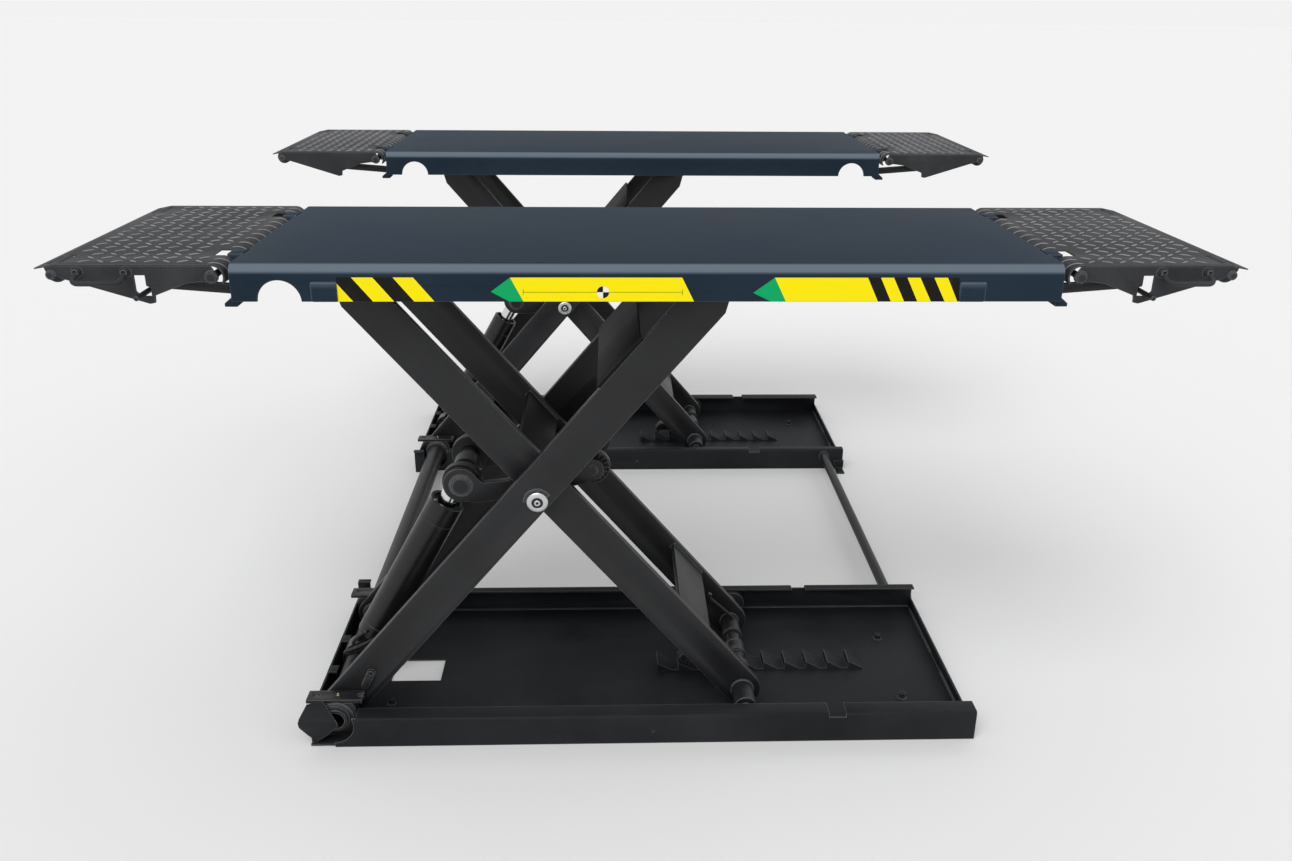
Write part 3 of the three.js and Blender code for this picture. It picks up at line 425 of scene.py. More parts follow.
def bead(start, end, size=2.6):
    """A weld bead between two points."""
    start, end = Vector(start), Vector(end)
    count = max(4, int((end - start).length / RIPPLE))
    return swept([start.lerp(end, i / count) for i in range(count + 1)], size, 8, SWELL)


def bead_ring(x, z, radius, y, size=2.4, a=0.0, b=360.0):
    """A weld bead round a bar along Y."""
    count = max(12, int(radians(b - a) * radius / RIPPLE))
    return swept([(px, y, pz) for px, pz in ring_of(x, z, radius, a, b - 0.01, count)], size, 8, SWELL)


def mesh_of(name, bm):
    """Turns a working mesh into an object's mesh."""
    mesh = bpy.data.meshes.new(name)
    bm.to_mesh(mesh)
    bm.free()
    return mesh


def joined(*meshes):
    """One mesh of several."""
    whole = bmesh.new()
    for bm in meshes:
        part = mesh_of("joined", bm)
        whole.from_mesh(part)
        bpy.data.meshes.remove(part)
    return whole


def carved(bm, cutters, edge=1.0):
    """The mesh with the cutters taken away and its sharp edges rounded."""
    body = new_object("carved", mesh_of("carved", bm))
    tools = [new_object("cutter", mesh_of("cutter", cutter)) for cutter in cutters]
    for tool in tools:
        cut = body.modifiers.new("cut", "BOOLEAN")
        cut.operation = "DIFFERENCE"
        cut.solver = "EXACT"
        cut.object = tool
    bpy.context.view_layer.update()
    made = bpy.data.meshes.new_from_object(body.evaluated_get(bpy.context.evaluated_depsgraph_get()))
    out = bmesh.new()
    out.from_mesh(made)
    bmesh.ops.remove_doubles(out, verts=out.verts[:], dist=0.001)
    bmesh.ops.dissolve_limit(out, angle_limit=radians(1), verts=out.verts[:], edges=out.edges[:])
    soften(out, edge)
    for thing in [body, *tools]:
        data = thing.data
        bpy.data.objects.remove(thing)
        bpy.data.meshes.remove(data)
    bpy.data.meshes.remove(made)
    return out


# Across the unit, everything stands twice, in front and in the rear
PLACES = ("front", "rear")


def both(y0, y1):
    """A span and its mirror image across the unit."""
    return [(y0, y1), (DECK_WIDTH - y1, DECK_WIDTH - y0)]


def twice(*ys):
    """Places across the unit and their mirror images, from front to rear."""
    return [*ys, *(DECK_WIDTH - y for y in reversed(ys))]


def pins(x, z, radius, span, *more):
    """A pin and its mirror image across the unit."""
    return [pin(x, z, radius, *part, *more) for part in both(*span)]


def plates(rings, span, edge=1.0):
    """A flat profile's plate and its mirror image across the unit."""
    return [prism(rings, *part, edge=edge) for part in both(*span)]


# Placing pieces: each is made once, for the near unit, and mirrored for the far unit


def posed(x, z, turn=0.0):
    """A place in the unit's side view, turned about Y."""
    return Matrix.Translation((x, 0, z)) @ Matrix.Rotation(turn, 4, "Y")


RAM_TURN = atan2(LONG_PIN[1] - RAM_FOOT[1], LONG_PIN[0] - RAM_FOOT[0])
RAM_LENGTH = hypot(LONG_PIN[1] - RAM_FOOT[1], LONG_PIN[0] - RAM_FOOT[0])
OUTER, INNER, ROCKER = posed(*FOOT, -RAISED), posed(*SLIDER, RAISED), posed(*CENTRE)
RAM, CARRIAGE, PLATFORM = posed(*LONG_PIN, pi - RAM_TURN), posed(*SLIDER), posed(0, DECK_TOP)
RAMP, PROP = PLATFORM @ posed(*RAMP_HINGE), PLATFORM @ posed(*PROP_PIVOT)
FLOOR = Matrix.Identity(4)
# faces that meet at less than this look round
SMOOTH_BELOW = radians(35)


def show(name, bm, material, body, node=None, group=FLOOR, units=("near", "far")):
    """Puts a piece on both units, riding on its body and standing for its CAD node."""
    if isinstance(bm, list):
        bm = joined(*bm)
    made = []
    for unit in units:
        copy = moved(bm.copy(), group)
        side = 1 if unit == "near" else -1
        for vert in copy.verts:
            x, y, z = vert.co
            vert.co = (x / 1000, side * (y - DECK_WIDTH - UNIT_GAP / 2) / 1000, z / 1000)
        if (side < 0) != (group.determinant() < 0):
            bmesh.ops.reverse_faces(copy, faces=copy.faces[:])
        mesh = mesh_of(unit + "_" + name, copy)
        mesh.polygons.foreach_set("use_smooth", [True] * len(mesh.polygons))
        mesh.set_sharp_from_angle(angle=SMOOTH_BELOW)
        mesh.materials.append(material)
        piece = new_object(unit + "_" + name, mesh)
        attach(piece, body if body in frame["bodies"] else unit + "_" + body)
        if node:
            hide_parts(unit + "_" + node)
        made.append(piece)
    bm.free()
    return made


# Arms, each drawn level from its foot: the outer pair towards +X, the inner pair towards -X

OUTER_BAR, INNER_BAR = (86, 102), (130, 146)
INSIDE_ARMS = 146.3
SHAFT_BORE = 16.4
OUTER_TIE, LOW_TIE = (ARM_SPAN - 294, ARM_SPAN - 174), (-242, -142)
HIGH_TIE = (-TO_CENTRE - 106, -TO_CENTRE - 18)
OUTER_TIE_Z, INNER_TIE_Z = (40.3, 47.3), (22, 31)
HOOK = [(-8, 378, 16), (-20, 377, 19), (-60, 376, 15), (-88, 375, 12), (-98, 374, 15), (-101, 373, 21)]


def arm_outline(width, side):
    """A bar round at its foot and blunt at its far end."""
    half = width / 2
    tip = [(ARM_SPAN - 37, -half), (ARM_SPAN + 30, -8), (ARM_SPAN + 30, 22), (ARM_SPAN + 15, half)]
    return [(side * x, z) for x, z in ring_of(0, 0, half, 90, 270, 32) + tip]


def arm_lug(face):
    """A small round-ended strap on the outer arm's face, near its foot."""
    low, high, z, radius = 76, 108, -8, 7.5
    outline = ring_of(high, z, radius, -90, 90, 14) + ring_of(low, z, radius, 90, 270, 14)
    strap = prism([outline, hole(high, z, 2.6)], face - 7, face + 0.6, edge=1.4)
    return moved(strap, posed(low, z, radians(-14)) @ posed(-low, -z))


for place, (y0, y1), stub, washer in zip(PLACES, both(*OUTER_BAR), both(64.4, 90), both(61.4, 64.4)):
    rings = [arm_outline(80, 1), hole(0, 0, 25.4), hole(TO_CENTRE, -CENTRE_DROP, SHAFT_BORE)]
    parts = [prism(rings, y0, y1, edge=1.2), pin(ARM_SPAN, 0, 10, *stub), pin(ARM_SPAN, 0, 15, *washer, 0.6)]
    parts += [bead_ring(0, 0, 25.6, y, 3.0) for y in (y0, y1)]
    inside = y1 if place == "front" else y0
    parts.append(bead(*[(x, inside, OUTER_TIE_Z[0]) for x in OUTER_TIE]))
    if place == "front":
        # the collar that carries the centre shaft shows as a bead above its disc
        parts += [bead_ring(TO_CENTRE, -CENTRE_DROP, 25, y0, 2.2, -20, 130), arm_lug(y0)]
    show(place + "_outer_arm", parts, black_coat, "outer_arms", "outer_arm_" + place, OUTER)

for place, (y0, y1), boss in zip(PLACES, both(*INNER_BAR), both(102.3, 131)):
    crossing = (-TO_CENTRE, -CENTRE_DROP)
    rings = [arm_outline(78, -1), hole(0, 0, 17.4), hole(*crossing, SHAFT_BORE), hole(-ARM_SPAN, 0, 14.4)]
    outside, inside = (y0, y1) if place == "front" else (y1, y0)
    parts = [prism(rings, y0, y1, edge=1.2), sleeve(*crossing, SHAFT_BORE, 28, *boss)]
    # left open below, where the arm comes down to the tray
    parts += [bead_ring(*crossing, 28.4, outside, 2.6, -45, 225), bead_ring(0, 0, 17.6, inside, 2.6)]
    if place == "rear":
        # a hook of round bar that runs from the foot up towards the low tie plate
        parts.append(swept(HOOK, 4.0, 12))
    for span in (LOW_TIE, HIGH_TIE):
        parts += [bead(*[(x, inside, z) for x in span], 3.0) for z in INNER_TIE_Z]
    show(place + "_inner_arm", parts, black_coat, "inner_arms", "inner_arm_" + place, INNER)

# the outer tie plate and the high inner one take the darker copy of the black coat, as painted shade
tie = block(*OUTER_TIE, *twice(OUTER_BAR[0]), *OUTER_TIE_Z)
show("outer_tie_plate", tie, shaded_coat, "outer_arms", "outer_cross_plate", OUTER)
for level, span, coat in (("low", LOW_TIE, black_coat), ("high", HIGH_TIE, shaded_coat)):
    tie = block(*span, *twice(INSIDE_ARMS), *INNER_TIE_Z)
    show("inner_" + level + "_tie_plate", tie, coat, "inner_arms", "inner_cross_plate_" + level, INNER)


# Torsion tube and duct pipe, each one piece across both units


def across(name, bm, body, node):
    """A piece that spans both units, drawn from the near unit's frame."""
    piece = show(name, bm, black_coat, body, units=("near",))[0]
    piece.name = name
    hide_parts(node)


DUCT = (612, 45)
across("cross_torsion_tube", sleeve(*FOOT, 18, 25, 36, FAR_SKIRT - 36, 1.5), "outer_arms", "torsion_tube")
parts = [pin(*DUCT, 12.5, 541.7, FAR_SKIRT - 541.7, 0.8), sleeve(*DUCT, 12, 17, 541.8, 546, 0.8)]
parts.append(sleeve(*DUCT, 12, 17, FAR_SKIRT - 546, FAR_SKIRT - 541.8, 0.8))
across("cross_duct_pipe", parts, "base", "duct_pipe")


# Rocker with its centre shaft and pins, drawn about the crossing

FORK = (178, 194)
WHEEL = (194.8, 210.8)


def rocker_outline():
    """The bent plate: a big boss at the long end, a waist and belly, the hub, and a small boss."""
    reach = LONG_REACH[0]
    lean = degrees(atan2(SHORT_REACH[1], SHORT_REACH[0]))
    low = ring_of(*LONG_REACH, 36, 25, 280, 40) + [(reach * 0.8, -45.5), (reach * 0.42, -36)]
    low += ring_of(0, 0, 28, -115, -65, 6) + ring_of(*SHORT_REACH, 23, lean - 90, lean + 90, 20)
    return low + ring_of(0, 0, 28, 65, 115, 6) + [(reach * 0.42, 3), (reach * 0.72, -2)]


parts = plates([rocker_outline()], FORK, 1.4)
rods = (((0, 0), 16, 80), ((0, 0), 26, INSIDE_ARMS), (SHORT_REACH, 10, 174), (LONG_REACH, 15, 200))
parts += [pin(*centre, radius, *twice(y0)) for centre, radius, y0 in rods]
# bosses on the long end, and the pin's end in a turned ring, a couple of millimetres proud
parts += pins(*LONG_REACH, 21, (175, 253.9), 1.6) + pins(*LONG_REACH, 16.5, (172.6, 176), 1.0)
parts += [bead_ring(*LONG_REACH, 21.5, y, 1.8) for y in twice(FORK[0])]
parts += [bead_ring(0, 0, 25.2, y, 2.0) for y in twice(*FORK)]
show("rocker_forks", parts, black_coat, "rocker_frame", "rocker", ROCKER)

# Zinc plated discs on the centre shaft's ends, each with its socket screw, as (radius, depth) points
DISC = [(0, 2.2), (8.6, 2.2), (9.2, 1.2), (10.6, 1.2), (11.4, 0.2)]
DISC += [(12.6, 0.0), (18.6, 1.6), (20.4, 3.2), (20.6, 6.6), (0, 6.6)]
DISC_SCREW = [(0, 2.0), (2.6, 2.0), (2.9, -0.6), (4.6, -1.2), (5.9, -0.4), (6.2, 1.0), (6.2, 3.0), (0, 3.0)]
for place, face, side in zip(PLACES, twice(79.2), (1, -1)):
    parts = [
        turned(0, 0, [(r, face + side * depth) for r, depth in profile], steps)
        for profile, steps in ((DISC, 64), (DISC_SCREW, 32))
    ]
    show(place + "_centre_disc", parts, zinc_plate, "rocker_frame", group=ROCKER)


def ribbed_wheel(x, z, radius, bore, y0, y1, side, ribs=20):
    """A moulded wheel with a smooth tread and radial ribs in the groove of its outward face."""
    hub, rim = 0.62 * radius, 0.91 * radius
    out, back = (y0, y1) if side < 0 else (y1, y0)
    floor, chamfer = out - side * 6, 1.2
    profile = [(bore, out), (hub, out), (hub, floor), (rim, floor), (rim, out), (radius - chamfer, out)]
    profile += [(radius, out - side * chamfer), (radius, back + side * chamfer)]
    profile += [(radius - chamfer, back), (bore, back)]
    low, high = sorted((floor - side * 0.5, out - side * 0.8))
    spokes = []
    for i in range(ribs):
        rib = block(hub - 0.6, rim + 0.6, low, high, -1.3, 1.3, 0.3)
        spokes.append(moved(rib, posed(x, z, 2 * pi * i / ribs)))
    return [turned(x, z, profile), *spokes]


for place, side, span in zip(PLACES, (-1, 1), both(*WHEEL)):
    wheel = ribbed_wheel(*LONG_REACH, 40, 21.7, *span, side)
    node = "rocker_wheel_" + place
    show(place + "_ribbed_wheel", wheel, nylon, node + "_turn", node, ROCKER)
parts = [sleeve(*SHORT_REACH, 10.7, 15, *twice(196))]
for side, span in zip((-1, 1), both(*WHEEL)):
    parts += ribbed_wheel(*SHORT_REACH, 36, 10.7, *span, side, 18)
show("short_wheel_spool", parts, nylon, "rocker_wheel_short_turn", "rocker_wheel_short", ROCKER)


# Cylinder, drawn with its upper eye at the origin and its foot along +X

HEAD = 90.0
TUBE_END = RAM_LENGTH - 62
EYE = (MIDDLE - 20, MIDDLE + 20)


def about_x(bm):
    """Turns a piece drawn about the Y axis to lie along X at the unit's middle."""
    return moved(bm, Matrix.Translation((0, MIDDLE, 0)) @ Matrix.Rotation(-pi / 2, 4, "Z"))


def rod_x(radius, x0, x1):
    """A round bar along X at the unit's middle."""
    return about_x(pin(0, 0, radius, x0, x1, 1.5, 64))


show("ram_rod", rod_x(20, 22, 190), hard_chrome, "rod", "cylinder_rod", RAM)
show("ram_rod_eye", [sleeve(0, 0, 15.6, 27, *EYE, 1.6), rod_x(20.6, 20, 34)], black_coat, "rod", group=RAM)

# the tube's wall with its screwed head: a rim, a sunk wiper seat, and two turned grooves lower down
head_turns = [(20.9, 7), (29, 7), (30, 1.2), (31.2, 0), (35.8, 0), (37.2, 1.4)]
head_turns += [(37.2, 46), (36.7, 46.6), (36.7, 47.8), (37.3, 48.4)]
foot_turns = [(37.3, -34), (36.6, -33.2), (36.6, -32), (37.4, -31.2), (37.4, -2.4), (35, 0), (20.9, 0)]
tube_profile = [(r, HEAD + x) for r, x in head_turns] + [(r, TUBE_END + x) for r, x in foot_turns]
parts = [
    about_x(turned(0, 0, tube_profile)),
    rod_x(22.0, HEAD + 172, TUBE_END + 4),
    carved(block(RAM_LENGTH - 67, RAM_LENGTH, *EYE, -26, 26, 0), [pin(RAM_LENGTH, 0, 32.3, 200, 350, 0)]),
    sleeve(RAM_LENGTH, 0, 32.3, 39, *EYE),
]
show("ram_barrel", parts, ram_enamel, "barrel", "cylinder_barrel", RAM)
# brass bleed screw in the cylinder's head
bleed = moved(about_x(pin(0, 0, 3.6, HEAD - 1.6, HEAD + 1, 0.6, 20)), Matrix.Translation((0, -22, -24.5)))
show("ram_bleed_screw", bleed, brass, "barrel", group=RAM)

# two steel oil pipes at the cylinder's foot, bent clear of the torsion tube
UPPER_PIPE = [(-604, 238, 130), (-614, 232, 127), (-624, 230, 119)]
UPPER_PIPE += [(-630, 230, 110), (-626, 233, 102), (-606, 257, 100)]
LOWER_PIPE = [(-588, 240, 113), (-604, 231, 107), (-628, 227, 97), (-645, 226, 91)]
LOWER_PIPE += [(-648, 226, 87), (-642, 228, 84), (-622, 240, 85), (-608, 257, 88)]


def eased(points, per=5):
    """A smooth line through the points."""
    points = [Vector(p) for p in points]
    last = len(points) - 1
    line = []
    for i in range(last):
        before, here, there, after = (points[min(max(i + k, 0), last)] for k in (-1, 0, 1, 2))
        for step in range(per):
            t = step / per
            curve = (2 * before - 5 * here + 4 * there - after) * t**2
            turn = (3 * here - before - 3 * there + after) * t**3
            line.append(0.5 * (2 * here + (there - before) * t + curve + turn))
    return line + [points[-1]]


parts = [swept(eased(run), 4.2, 14) for run in (UPPER_PIPE, LOWER_PIPE)]
show("ram_foot_pipes", joined(*parts), black_coat, "barrel")


# Bottom axle with its sleeves and slide blocks, drawn about the axle

parts = [pin(0, 0, 17, *twice(125)), pin(0, 0, 10, 27, DECK_WIDTH - 18)]
parts += pins(0, 0, 23, (66, 129.7)) + pins(0, 0, 22, (254.2, 261.2))
# turned sleeves between the arms, with the beads that hold them
parts += [sleeve(0, 0, 16.5, 21.5, y0, y1, 1.4) for y0, y1 in both(150, 214)]
parts += [bead_ring(0, 0, 23, y, 2.8) for y in twice(129.4)]
parts += [bead_ring(0, 0, 20.8, y, 2.4) for y in twice(148.6, 214.6)]
SLIDE_LOW, SLIDE_HIGH = 4.8 - SLIDER[1], 61.4 - SLIDER[1]
slide_z, slide_half = (SLIDE_LOW + SLIDE_HIGH) / 2, (SLIDE_HIGH - SLIDE_LOW) / 2
slide_outline = ring_of(20, slide_z, slide_half, -90, 90, 20) + ring_of(-20, slide_z, slide_half, 90, 270, 20)
parts += [prism([slide_outline], y0, y1) for y0, y1 in ((22.3, 52.3), (506.6, 536.6))]
show("sliding_axle", parts, black_coat, "carriage", "bottom_axle", CARRIAGE)

PAWL = (262, 288)
PAWL_TIP = 28 - SLIDER[1]
pawl_outline = [(-125, PAWL_TIP + 14), (-118.5, PAWL_TIP), (-112, PAWL_TIP), (-112, PAWL_TIP + 7)]
pawl_outline += [(0, -15), (0, 15), (-112, PAWL_TIP + 29), (-118.5, PAWL_TIP + 21.5)]
claw = carved(prism([pawl_outline], *PAWL, edge=0), [pin(0, 0, 17.6, 250, 300, 0)], 0.8)
show("catch_pawl", [claw, sleeve(0, 0, 17.5, 22, *PAWL)], black_coat, "pawl", "lock_pawl", CARRIAGE)

for place, span in zip(PLACES, both(64.7, 85.7)):
    node = "top_roller_" + place
    roller = sleeve(ARM_SPAN, 0, 10.6, 25, *span, 2.0)
    show(place + "_top_roller", roller, nylon, node + "_turn", node, OUTER)


# Base

RAIL_TOP = 66.2
RAIL_END = 675
TRAY_BACK = -680
TRAY_Y = (21.8, 537.1)


def rail_section(face, flange, side):
    """An angle with a rounded bend, standing on its web's edge."""
    bend, wall = 6.0, 4
    turns = (0, 0.4, 0.8, 1.2, pi / 2)
    rounded = [(bend - bend * cos(t), RAIL_TOP - bend + bend * sin(t)) for t in turns]
    inside = [(flange, RAIL_TOP), (flange, RAIL_TOP - wall), (wall, RAIL_TOP - wall), (wall, 0)]
    return [(face + side * y, z) for y, z in [(0, 0), *rounded, *inside]]


def side_rail(face, flange, side, start):
    """A side rail cut out round the torsion tube, with a notch in its flange and a hole in its web."""
    bar = prism([rail_section(face, flange, side)], start, RAIL_END, axis="x", edge=0)
    y0, y1 = sorted((face - side * 5, face + side * (flange + 5)))
    f0, f1 = sorted((face + side * 4, face + side * (flange + 5)))
    cutters = [
        pin(*FOOT, 40, y0, y1, 0),
        block(start - 5, -586, f0, f1, RAIL_TOP - 4.3, RAIL_TOP + 5, 0),
        block(372, 406, y0, y1, RAIL_TOP - 9, RAIL_TOP + 5, 0),
        pin(12.8, 29.4, 2.6, face - 5, face + 5, 0, 20),
    ]
    return carved(bar, cutters, 0.9)


show("outer_side_rail", side_rail(17.5, 38, 1, -630), floor_coat, "base", "rail_outer")
show("inner_side_rail", side_rail(541.4, 24, -1, TRAY_BACK), floor_coat, "base", "rail_inner")

window = block(-559, -450, 240, 323, -5, 9, 0)
parts = [carved(block(TRAY_BACK, RAIL_END, *TRAY_Y, 0, 4, 0), [window], 0.8)]
parts.append(block(TRAY_BACK, TRAY_BACK + 4, 30, TRAY_Y[1], 3, 66, 0.8))
parts.append(block(RAIL_END - 4, RAIL_END, *TRAY_Y, 3, 30, 0.8))
parts += [block(TRAY_BACK, TRAY_BACK + 20, y, y + 25, 62, 66, 0.8) for y in (185, 305)]
# beads along the tray's end walls and the heads of the bolts that hold it to the floor
for x, y0, y1 in ((671, 40, 250), (671, 330, 520), (-676, 100, 480)):
    parts.append(bead((x, y0, 5), (x, y1, 5)))
parts.append(bead((-560, 537, 5), (668, 537, 5), 2.4))
for x in (-542, 560):
    for y in twice(158):
        parts += [stood(hexagon(0, 0, 13, 0, 6), x, y, 10), pin_up(x, y, 9.5, 3.8, 5.6, 0.4)]
# an angle bracket where the duct pipe leaves, and a folded guard plate with a foot by the torsion tube
small_plates = (
    (645, 678, 541.6, 545.6, 3, 30),
    (650, 675, 545, 586, 0.2, 4),
    (-692, -662, 552, 556, 3, 76),
    (-692, -662, 555, 567, 72, 76),
    (-692, -662, 536, 556, 0.2, 4),
)
parts += [block(*sizes, 0.8) for sizes in small_plates]
show("floor_tray", parts, floor_coat, "base", "base_tray")

# ten saw teeth, each a steep face and a long slope
TEETH, TOOTH, SLOPE, RACK_START = 10, 48, 34, 31
rack_outline = [(RACK_START, 4.3)]
for i in range(TEETH):
    x = RACK_START + TOOTH * i
    rack_outline += [(x, 7.8)] if i else []
    rack_outline += [(x, 25.8), (x + SLOPE, 7.8)]
rack_outline.append((x + SLOPE, 4.3))
show("catch_rack", prism([rack_outline], 265, 315, edge=0.8), floor_coat, "base", "lock_rack")

CAP_SCREWS = (-671, -581)
for place, (b0, b1), face, collar in zip(("outer", "inner"), both(50, 84), twice(50), both(42, 55)):
    y = (b0 + b1) / 2
    corners = [(-675, 4.3), (-591, 4.3), (-591, 70), (-597, 82.3), (-669, 82.3), (-675, 70)]
    parts = [
        carved(prism([corners], b0, b1, edge=0), [pin(*FOOT, 25.5, b0 - 5, b1 + 5, 0)], 1.2),
        carved(block(-689, -577, b0, b1, 82, 90, 0), [pin_up(x, y, 7.2, 84, 96, 0) for x in CAP_SCREWS], 1.2),
        sleeve(*FOOT, 25.5, 30.5, *collar, 1.6),
        bead_ring(*FOOT, 30.6, face, 2.6),
    ]
    # socket cap screws sunk in the cap
    for x in CAP_SCREWS:
        parts.append(carved(pin_up(x, y, 6.2, 83.5, 88.4), [pin_up(x, y, 3.0, 86, 95, 0, 6)], 0))
    show(place + "_bearing_block", parts, black_coat, "base", "bearing_block_" + place)
    nipple = [pin_up(-627, y, 3.6, 89.8, 91.4, 0.4), pin_up(-627, y, 2.4, 91, 94.6, 0.9)]
    show(place + "_grease_nipple", nipple, brass, "base")


def folded(points, faces, thickness):
    """A sheet metal piece of flat facets with the given thickness."""
    bm = bmesh.new()
    verts = [bm.verts.new(p) for p in points]
    for face in faces:
        bm.faces.new([verts[i] for i in face])
    outward(bm)
    bmesh.ops.solidify(bm, geom=bm.faces[:], thickness=thickness)
    return soften(outward(bm), 0.8, 20)


# The guard leans over the corner: a wide upper leaf, a rounded fold and a lower leaf cut to a point
GUARD_POINTS = [(-688, 49.5, 81), (-655, 49.5, 89), (-623, 14, 68), (-697, 18, 68), (-619, 11, 61)]
GUARD_POINTS += [(-699, 14, 60), (-619, 12, 53), (-698, 16, 48)]
GUARD_POINTS += [(-646, 20, 25), (-668, 24, 8), (-686, 26, 24)]
GUARD_FACES = [(0, 1, 2, 3), (3, 2, 4, 5), (5, 4, 6, 7), (7, 6, 8, 9, 10)]
show("hose_corner_guard", folded(GUARD_POINTS, GUARD_FACES, 3), floor_coat, "base", "corner_guard")


# Platform, drawn with its top at z = 0

DECK_THICK, DECK_BEND, SKIRT_LOW = 5.0, 18.0, -64.5
# just inside the deck's plate, where what hangs from it starts
UNDER = -4.7
NOTCH_X, NOTCH_RADIUS = 630, 37


def deck_shell():
    """The folded plate: a top, two rolled edges and two skirts with half-round notches."""
    t, r, low, w = DECK_THICK, DECK_BEND, SKIRT_LOW, DECK_WIDTH
    outside = ring_of(r, -r, r, 180, 90, 8) + ring_of(w - r, -r, r, 90, 0, 8)
    inside = ring_of(w - r, -r, r - t, 0, 90, 8) + ring_of(r, -r, r - t, 90, 180, 8)
    section = [(0, low), *outside, (w, low), (w - t, low), *inside, (t, low)]
    shell = prism([section], -DECK_HALF, DECK_HALF, axis="x", edge=0)
    spans = ((-NOTCH_X, (-5, 10)), (-NOTCH_X, (w - 10, w + 5)), (NOTCH_X, (w - 10, w + 5)))
    return carved(shell, [pin(x, low, NOTCH_RADIUS, *span, 0, 64) for x, span in spans])


def deck_end_parts(side):
    """What one end of the deck carries for its ramp: tongues, pin plates, splayed brackets and pins."""
    hinge = (DECK_HALF + HINGE_OUT, -HINGE_DOWN)
    px = DECK_HALF - PROP_IN

    def pair(outline, span, edge=0.8):
        return plates([[(side * x, z) for x, z in outline]], span, edge)

    tongue = [(DECK_HALF - 5, 0), (DECK_HALF + 25, 0), (DECK_HALF + 25, -5)]
    tongue += ring_of(*hinge, 11, 90, -90, 12) + [(DECK_HALF - 5, -28.2)]
    bore = (side * hinge[0], hinge[1], 6.9, 70, 480, 0)
    parts = [carved(plate, [pin(*bore)], 0.8) for plate in pair(tongue, (80, 120), 0)]
    parts += pair([(px - 10, UNDER), (px + 6, UNDER)] + ring_of(px, -PROP_DOWN, 7, 0, -180, 10), (74.8, 80.8))
    # a bracket beside each skirt, splayed out at its low end, with a foot turned inwards
    low, near, far = -76, px + 2.5, px + 24
    splay = [(px + 7.5, UNDER), (px + 8.5, -40), (px + 12, -60), (far, -70)]
    parts += pair([(near, UNDER), *splay, (far, low), (near, low)], (10, 15))
    parts += pair([(near, low), (far, low), (far, low + 5), (near, low + 5)], (14, 58))
    return parts + pins(side * px, -PROP_DOWN, 6, (65.2, 80.8), 0.8, 24)


parts = [deck_shell()]
for side in (-1, 1):
    parts += deck_end_parts(side)
    x = side * (DECK_HALF - 157)
    parts.append(block(x - 22, x + 22, -3, 5, SKIRT_LOW, -30.5, 2.3))
# the tracks that the top rollers run under, each hung from the deck by a web
track_top = TOP_ROLLER[1] + 25.3 - DECK_TOP
track = (TOP_ROLLER[0] - 52, TOP_ROLLER[0] - 52 + 540)
for span, web in zip(both(58, 82), both(58, 62)):
    parts.append(block(*track, *span, track_top, track_top + 4, 0.8))
    parts.append(block(*track, *web, track_top, UNDER, 0.8))
hinge_x, hinge_z = TOP_HINGE[0], TOP_HINGE[1] - DECK_TOP
lug_outline = [(hinge_x - 34, UNDER)] + ring_of(hinge_x, hinge_z, 26, 180, 360, 20) + [(hinge_x + 34, UNDER)]
parts += plates([lug_outline], (108, 124)) + pins(hinge_x, hinge_z, 14, (108, 151))
show("platform_deck", parts, deck_coat, "platform", "deck", PLATFORM)


# Ramps, drawn with the hinge axis at the origin and the tip towards -X

# the lugs on the plate reach up to the deck's own level
PLATE_TOP, PLATE_THICK, LUG_BASE = 21.3, 3.1, 21.2
TIP_AXLE = (-265, 3.5)
RAMP_Y = (4, 8)
SKIRT_SHARES = [(1.04, 0.0), (1.03, 0.13), (0.945, 0.32), (0.41, 1.0)]
SKIRT_SHARES += [(0.375, 0.97), (0.37, 0.78), (0.17, 0.46), (0.05, 0.4)]
# the prop's cross rod, from the prop's pivot and from the ramp's hinge
STAY = (-150, 12)
ROD = (-113.0, STAY[1] - PROP_DOWN + HINGE_DOWN)
HANDLE = (-221.0, -141.0)


def ramp_shell():
    """The tear plate, curled round its hinge and bent at its tip, cut out for tongues and rollers."""
    top, t = PLATE_TOP, PLATE_THICK
    tip = [(-262, top), (-291, top - 6), (-291, top - 8.25), (-262, top - t)]
    outline = ring_of(0, 0, top, -35, 90, 16) + tip + ring_of(0, 0, top - t, 90, -35, 16)
    plate = prism([outline], *twice(RAMP_Y[0]), edge=0)
    cutters = [block(-19, 28, y0, y1, -23, 28, 0) for y0, y1 in both(76, 124)]
    cutters += [block(-279, -251, y0, y1, 3.5, 28, 0) for y0, y1 in both(20, 80)]
    return carved(plate, cutters, 0.8)


def ramp_skirt(y0, y1, windowed):
    """A skirt with a sloping low edge, and in the outer one the slot that the prop's rod slides in."""
    under, length, deep = 18.5, 265, 65
    slope = [(-a * length, under - b * deep) for a, b in SKIRT_SHARES]
    outline = [(0, under), *slope, *ring_of(0, 0, 11, 250, 360, 8)]
    corners = ((-8, -6.5), (9, -6.5), (9, 8), (2, 11), (2, 29), (-16, 29), (-16, 1.5))
    window = [(ROD[0] + x, ROD[1] + z) for x, z in corners]
    return prism([outline, window] if windowed else [outline], y0, y1, edge=0.7)


def handle_points():
    """The bail handle's line: out from the skirt, round two bends and back."""
    x0, x1 = HANDLE
    out, bend, drop_at_end = 30.0, 12.0, 13

    def spot(x, reach):
        return (x, RAMP_Y[0] - reach, 9 - drop_at_end * reach / out)

    points = [spot(x0, -2), spot(x0, 8), spot(x0, out - bend)]
    points += [spot(x, y) for x, y in ring_of(x0 + bend, out - bend, bend, 180, 90, 6)[1:]]
    points += [spot(x0 + 26, out), spot(x1 - 26, out)]
    points += [spot(x, y) for x, y in ring_of(x1 - bend, out - bend, bend, 90, 0, 6)]
    return points + [spot(x1, 8), spot(x1, -2)]


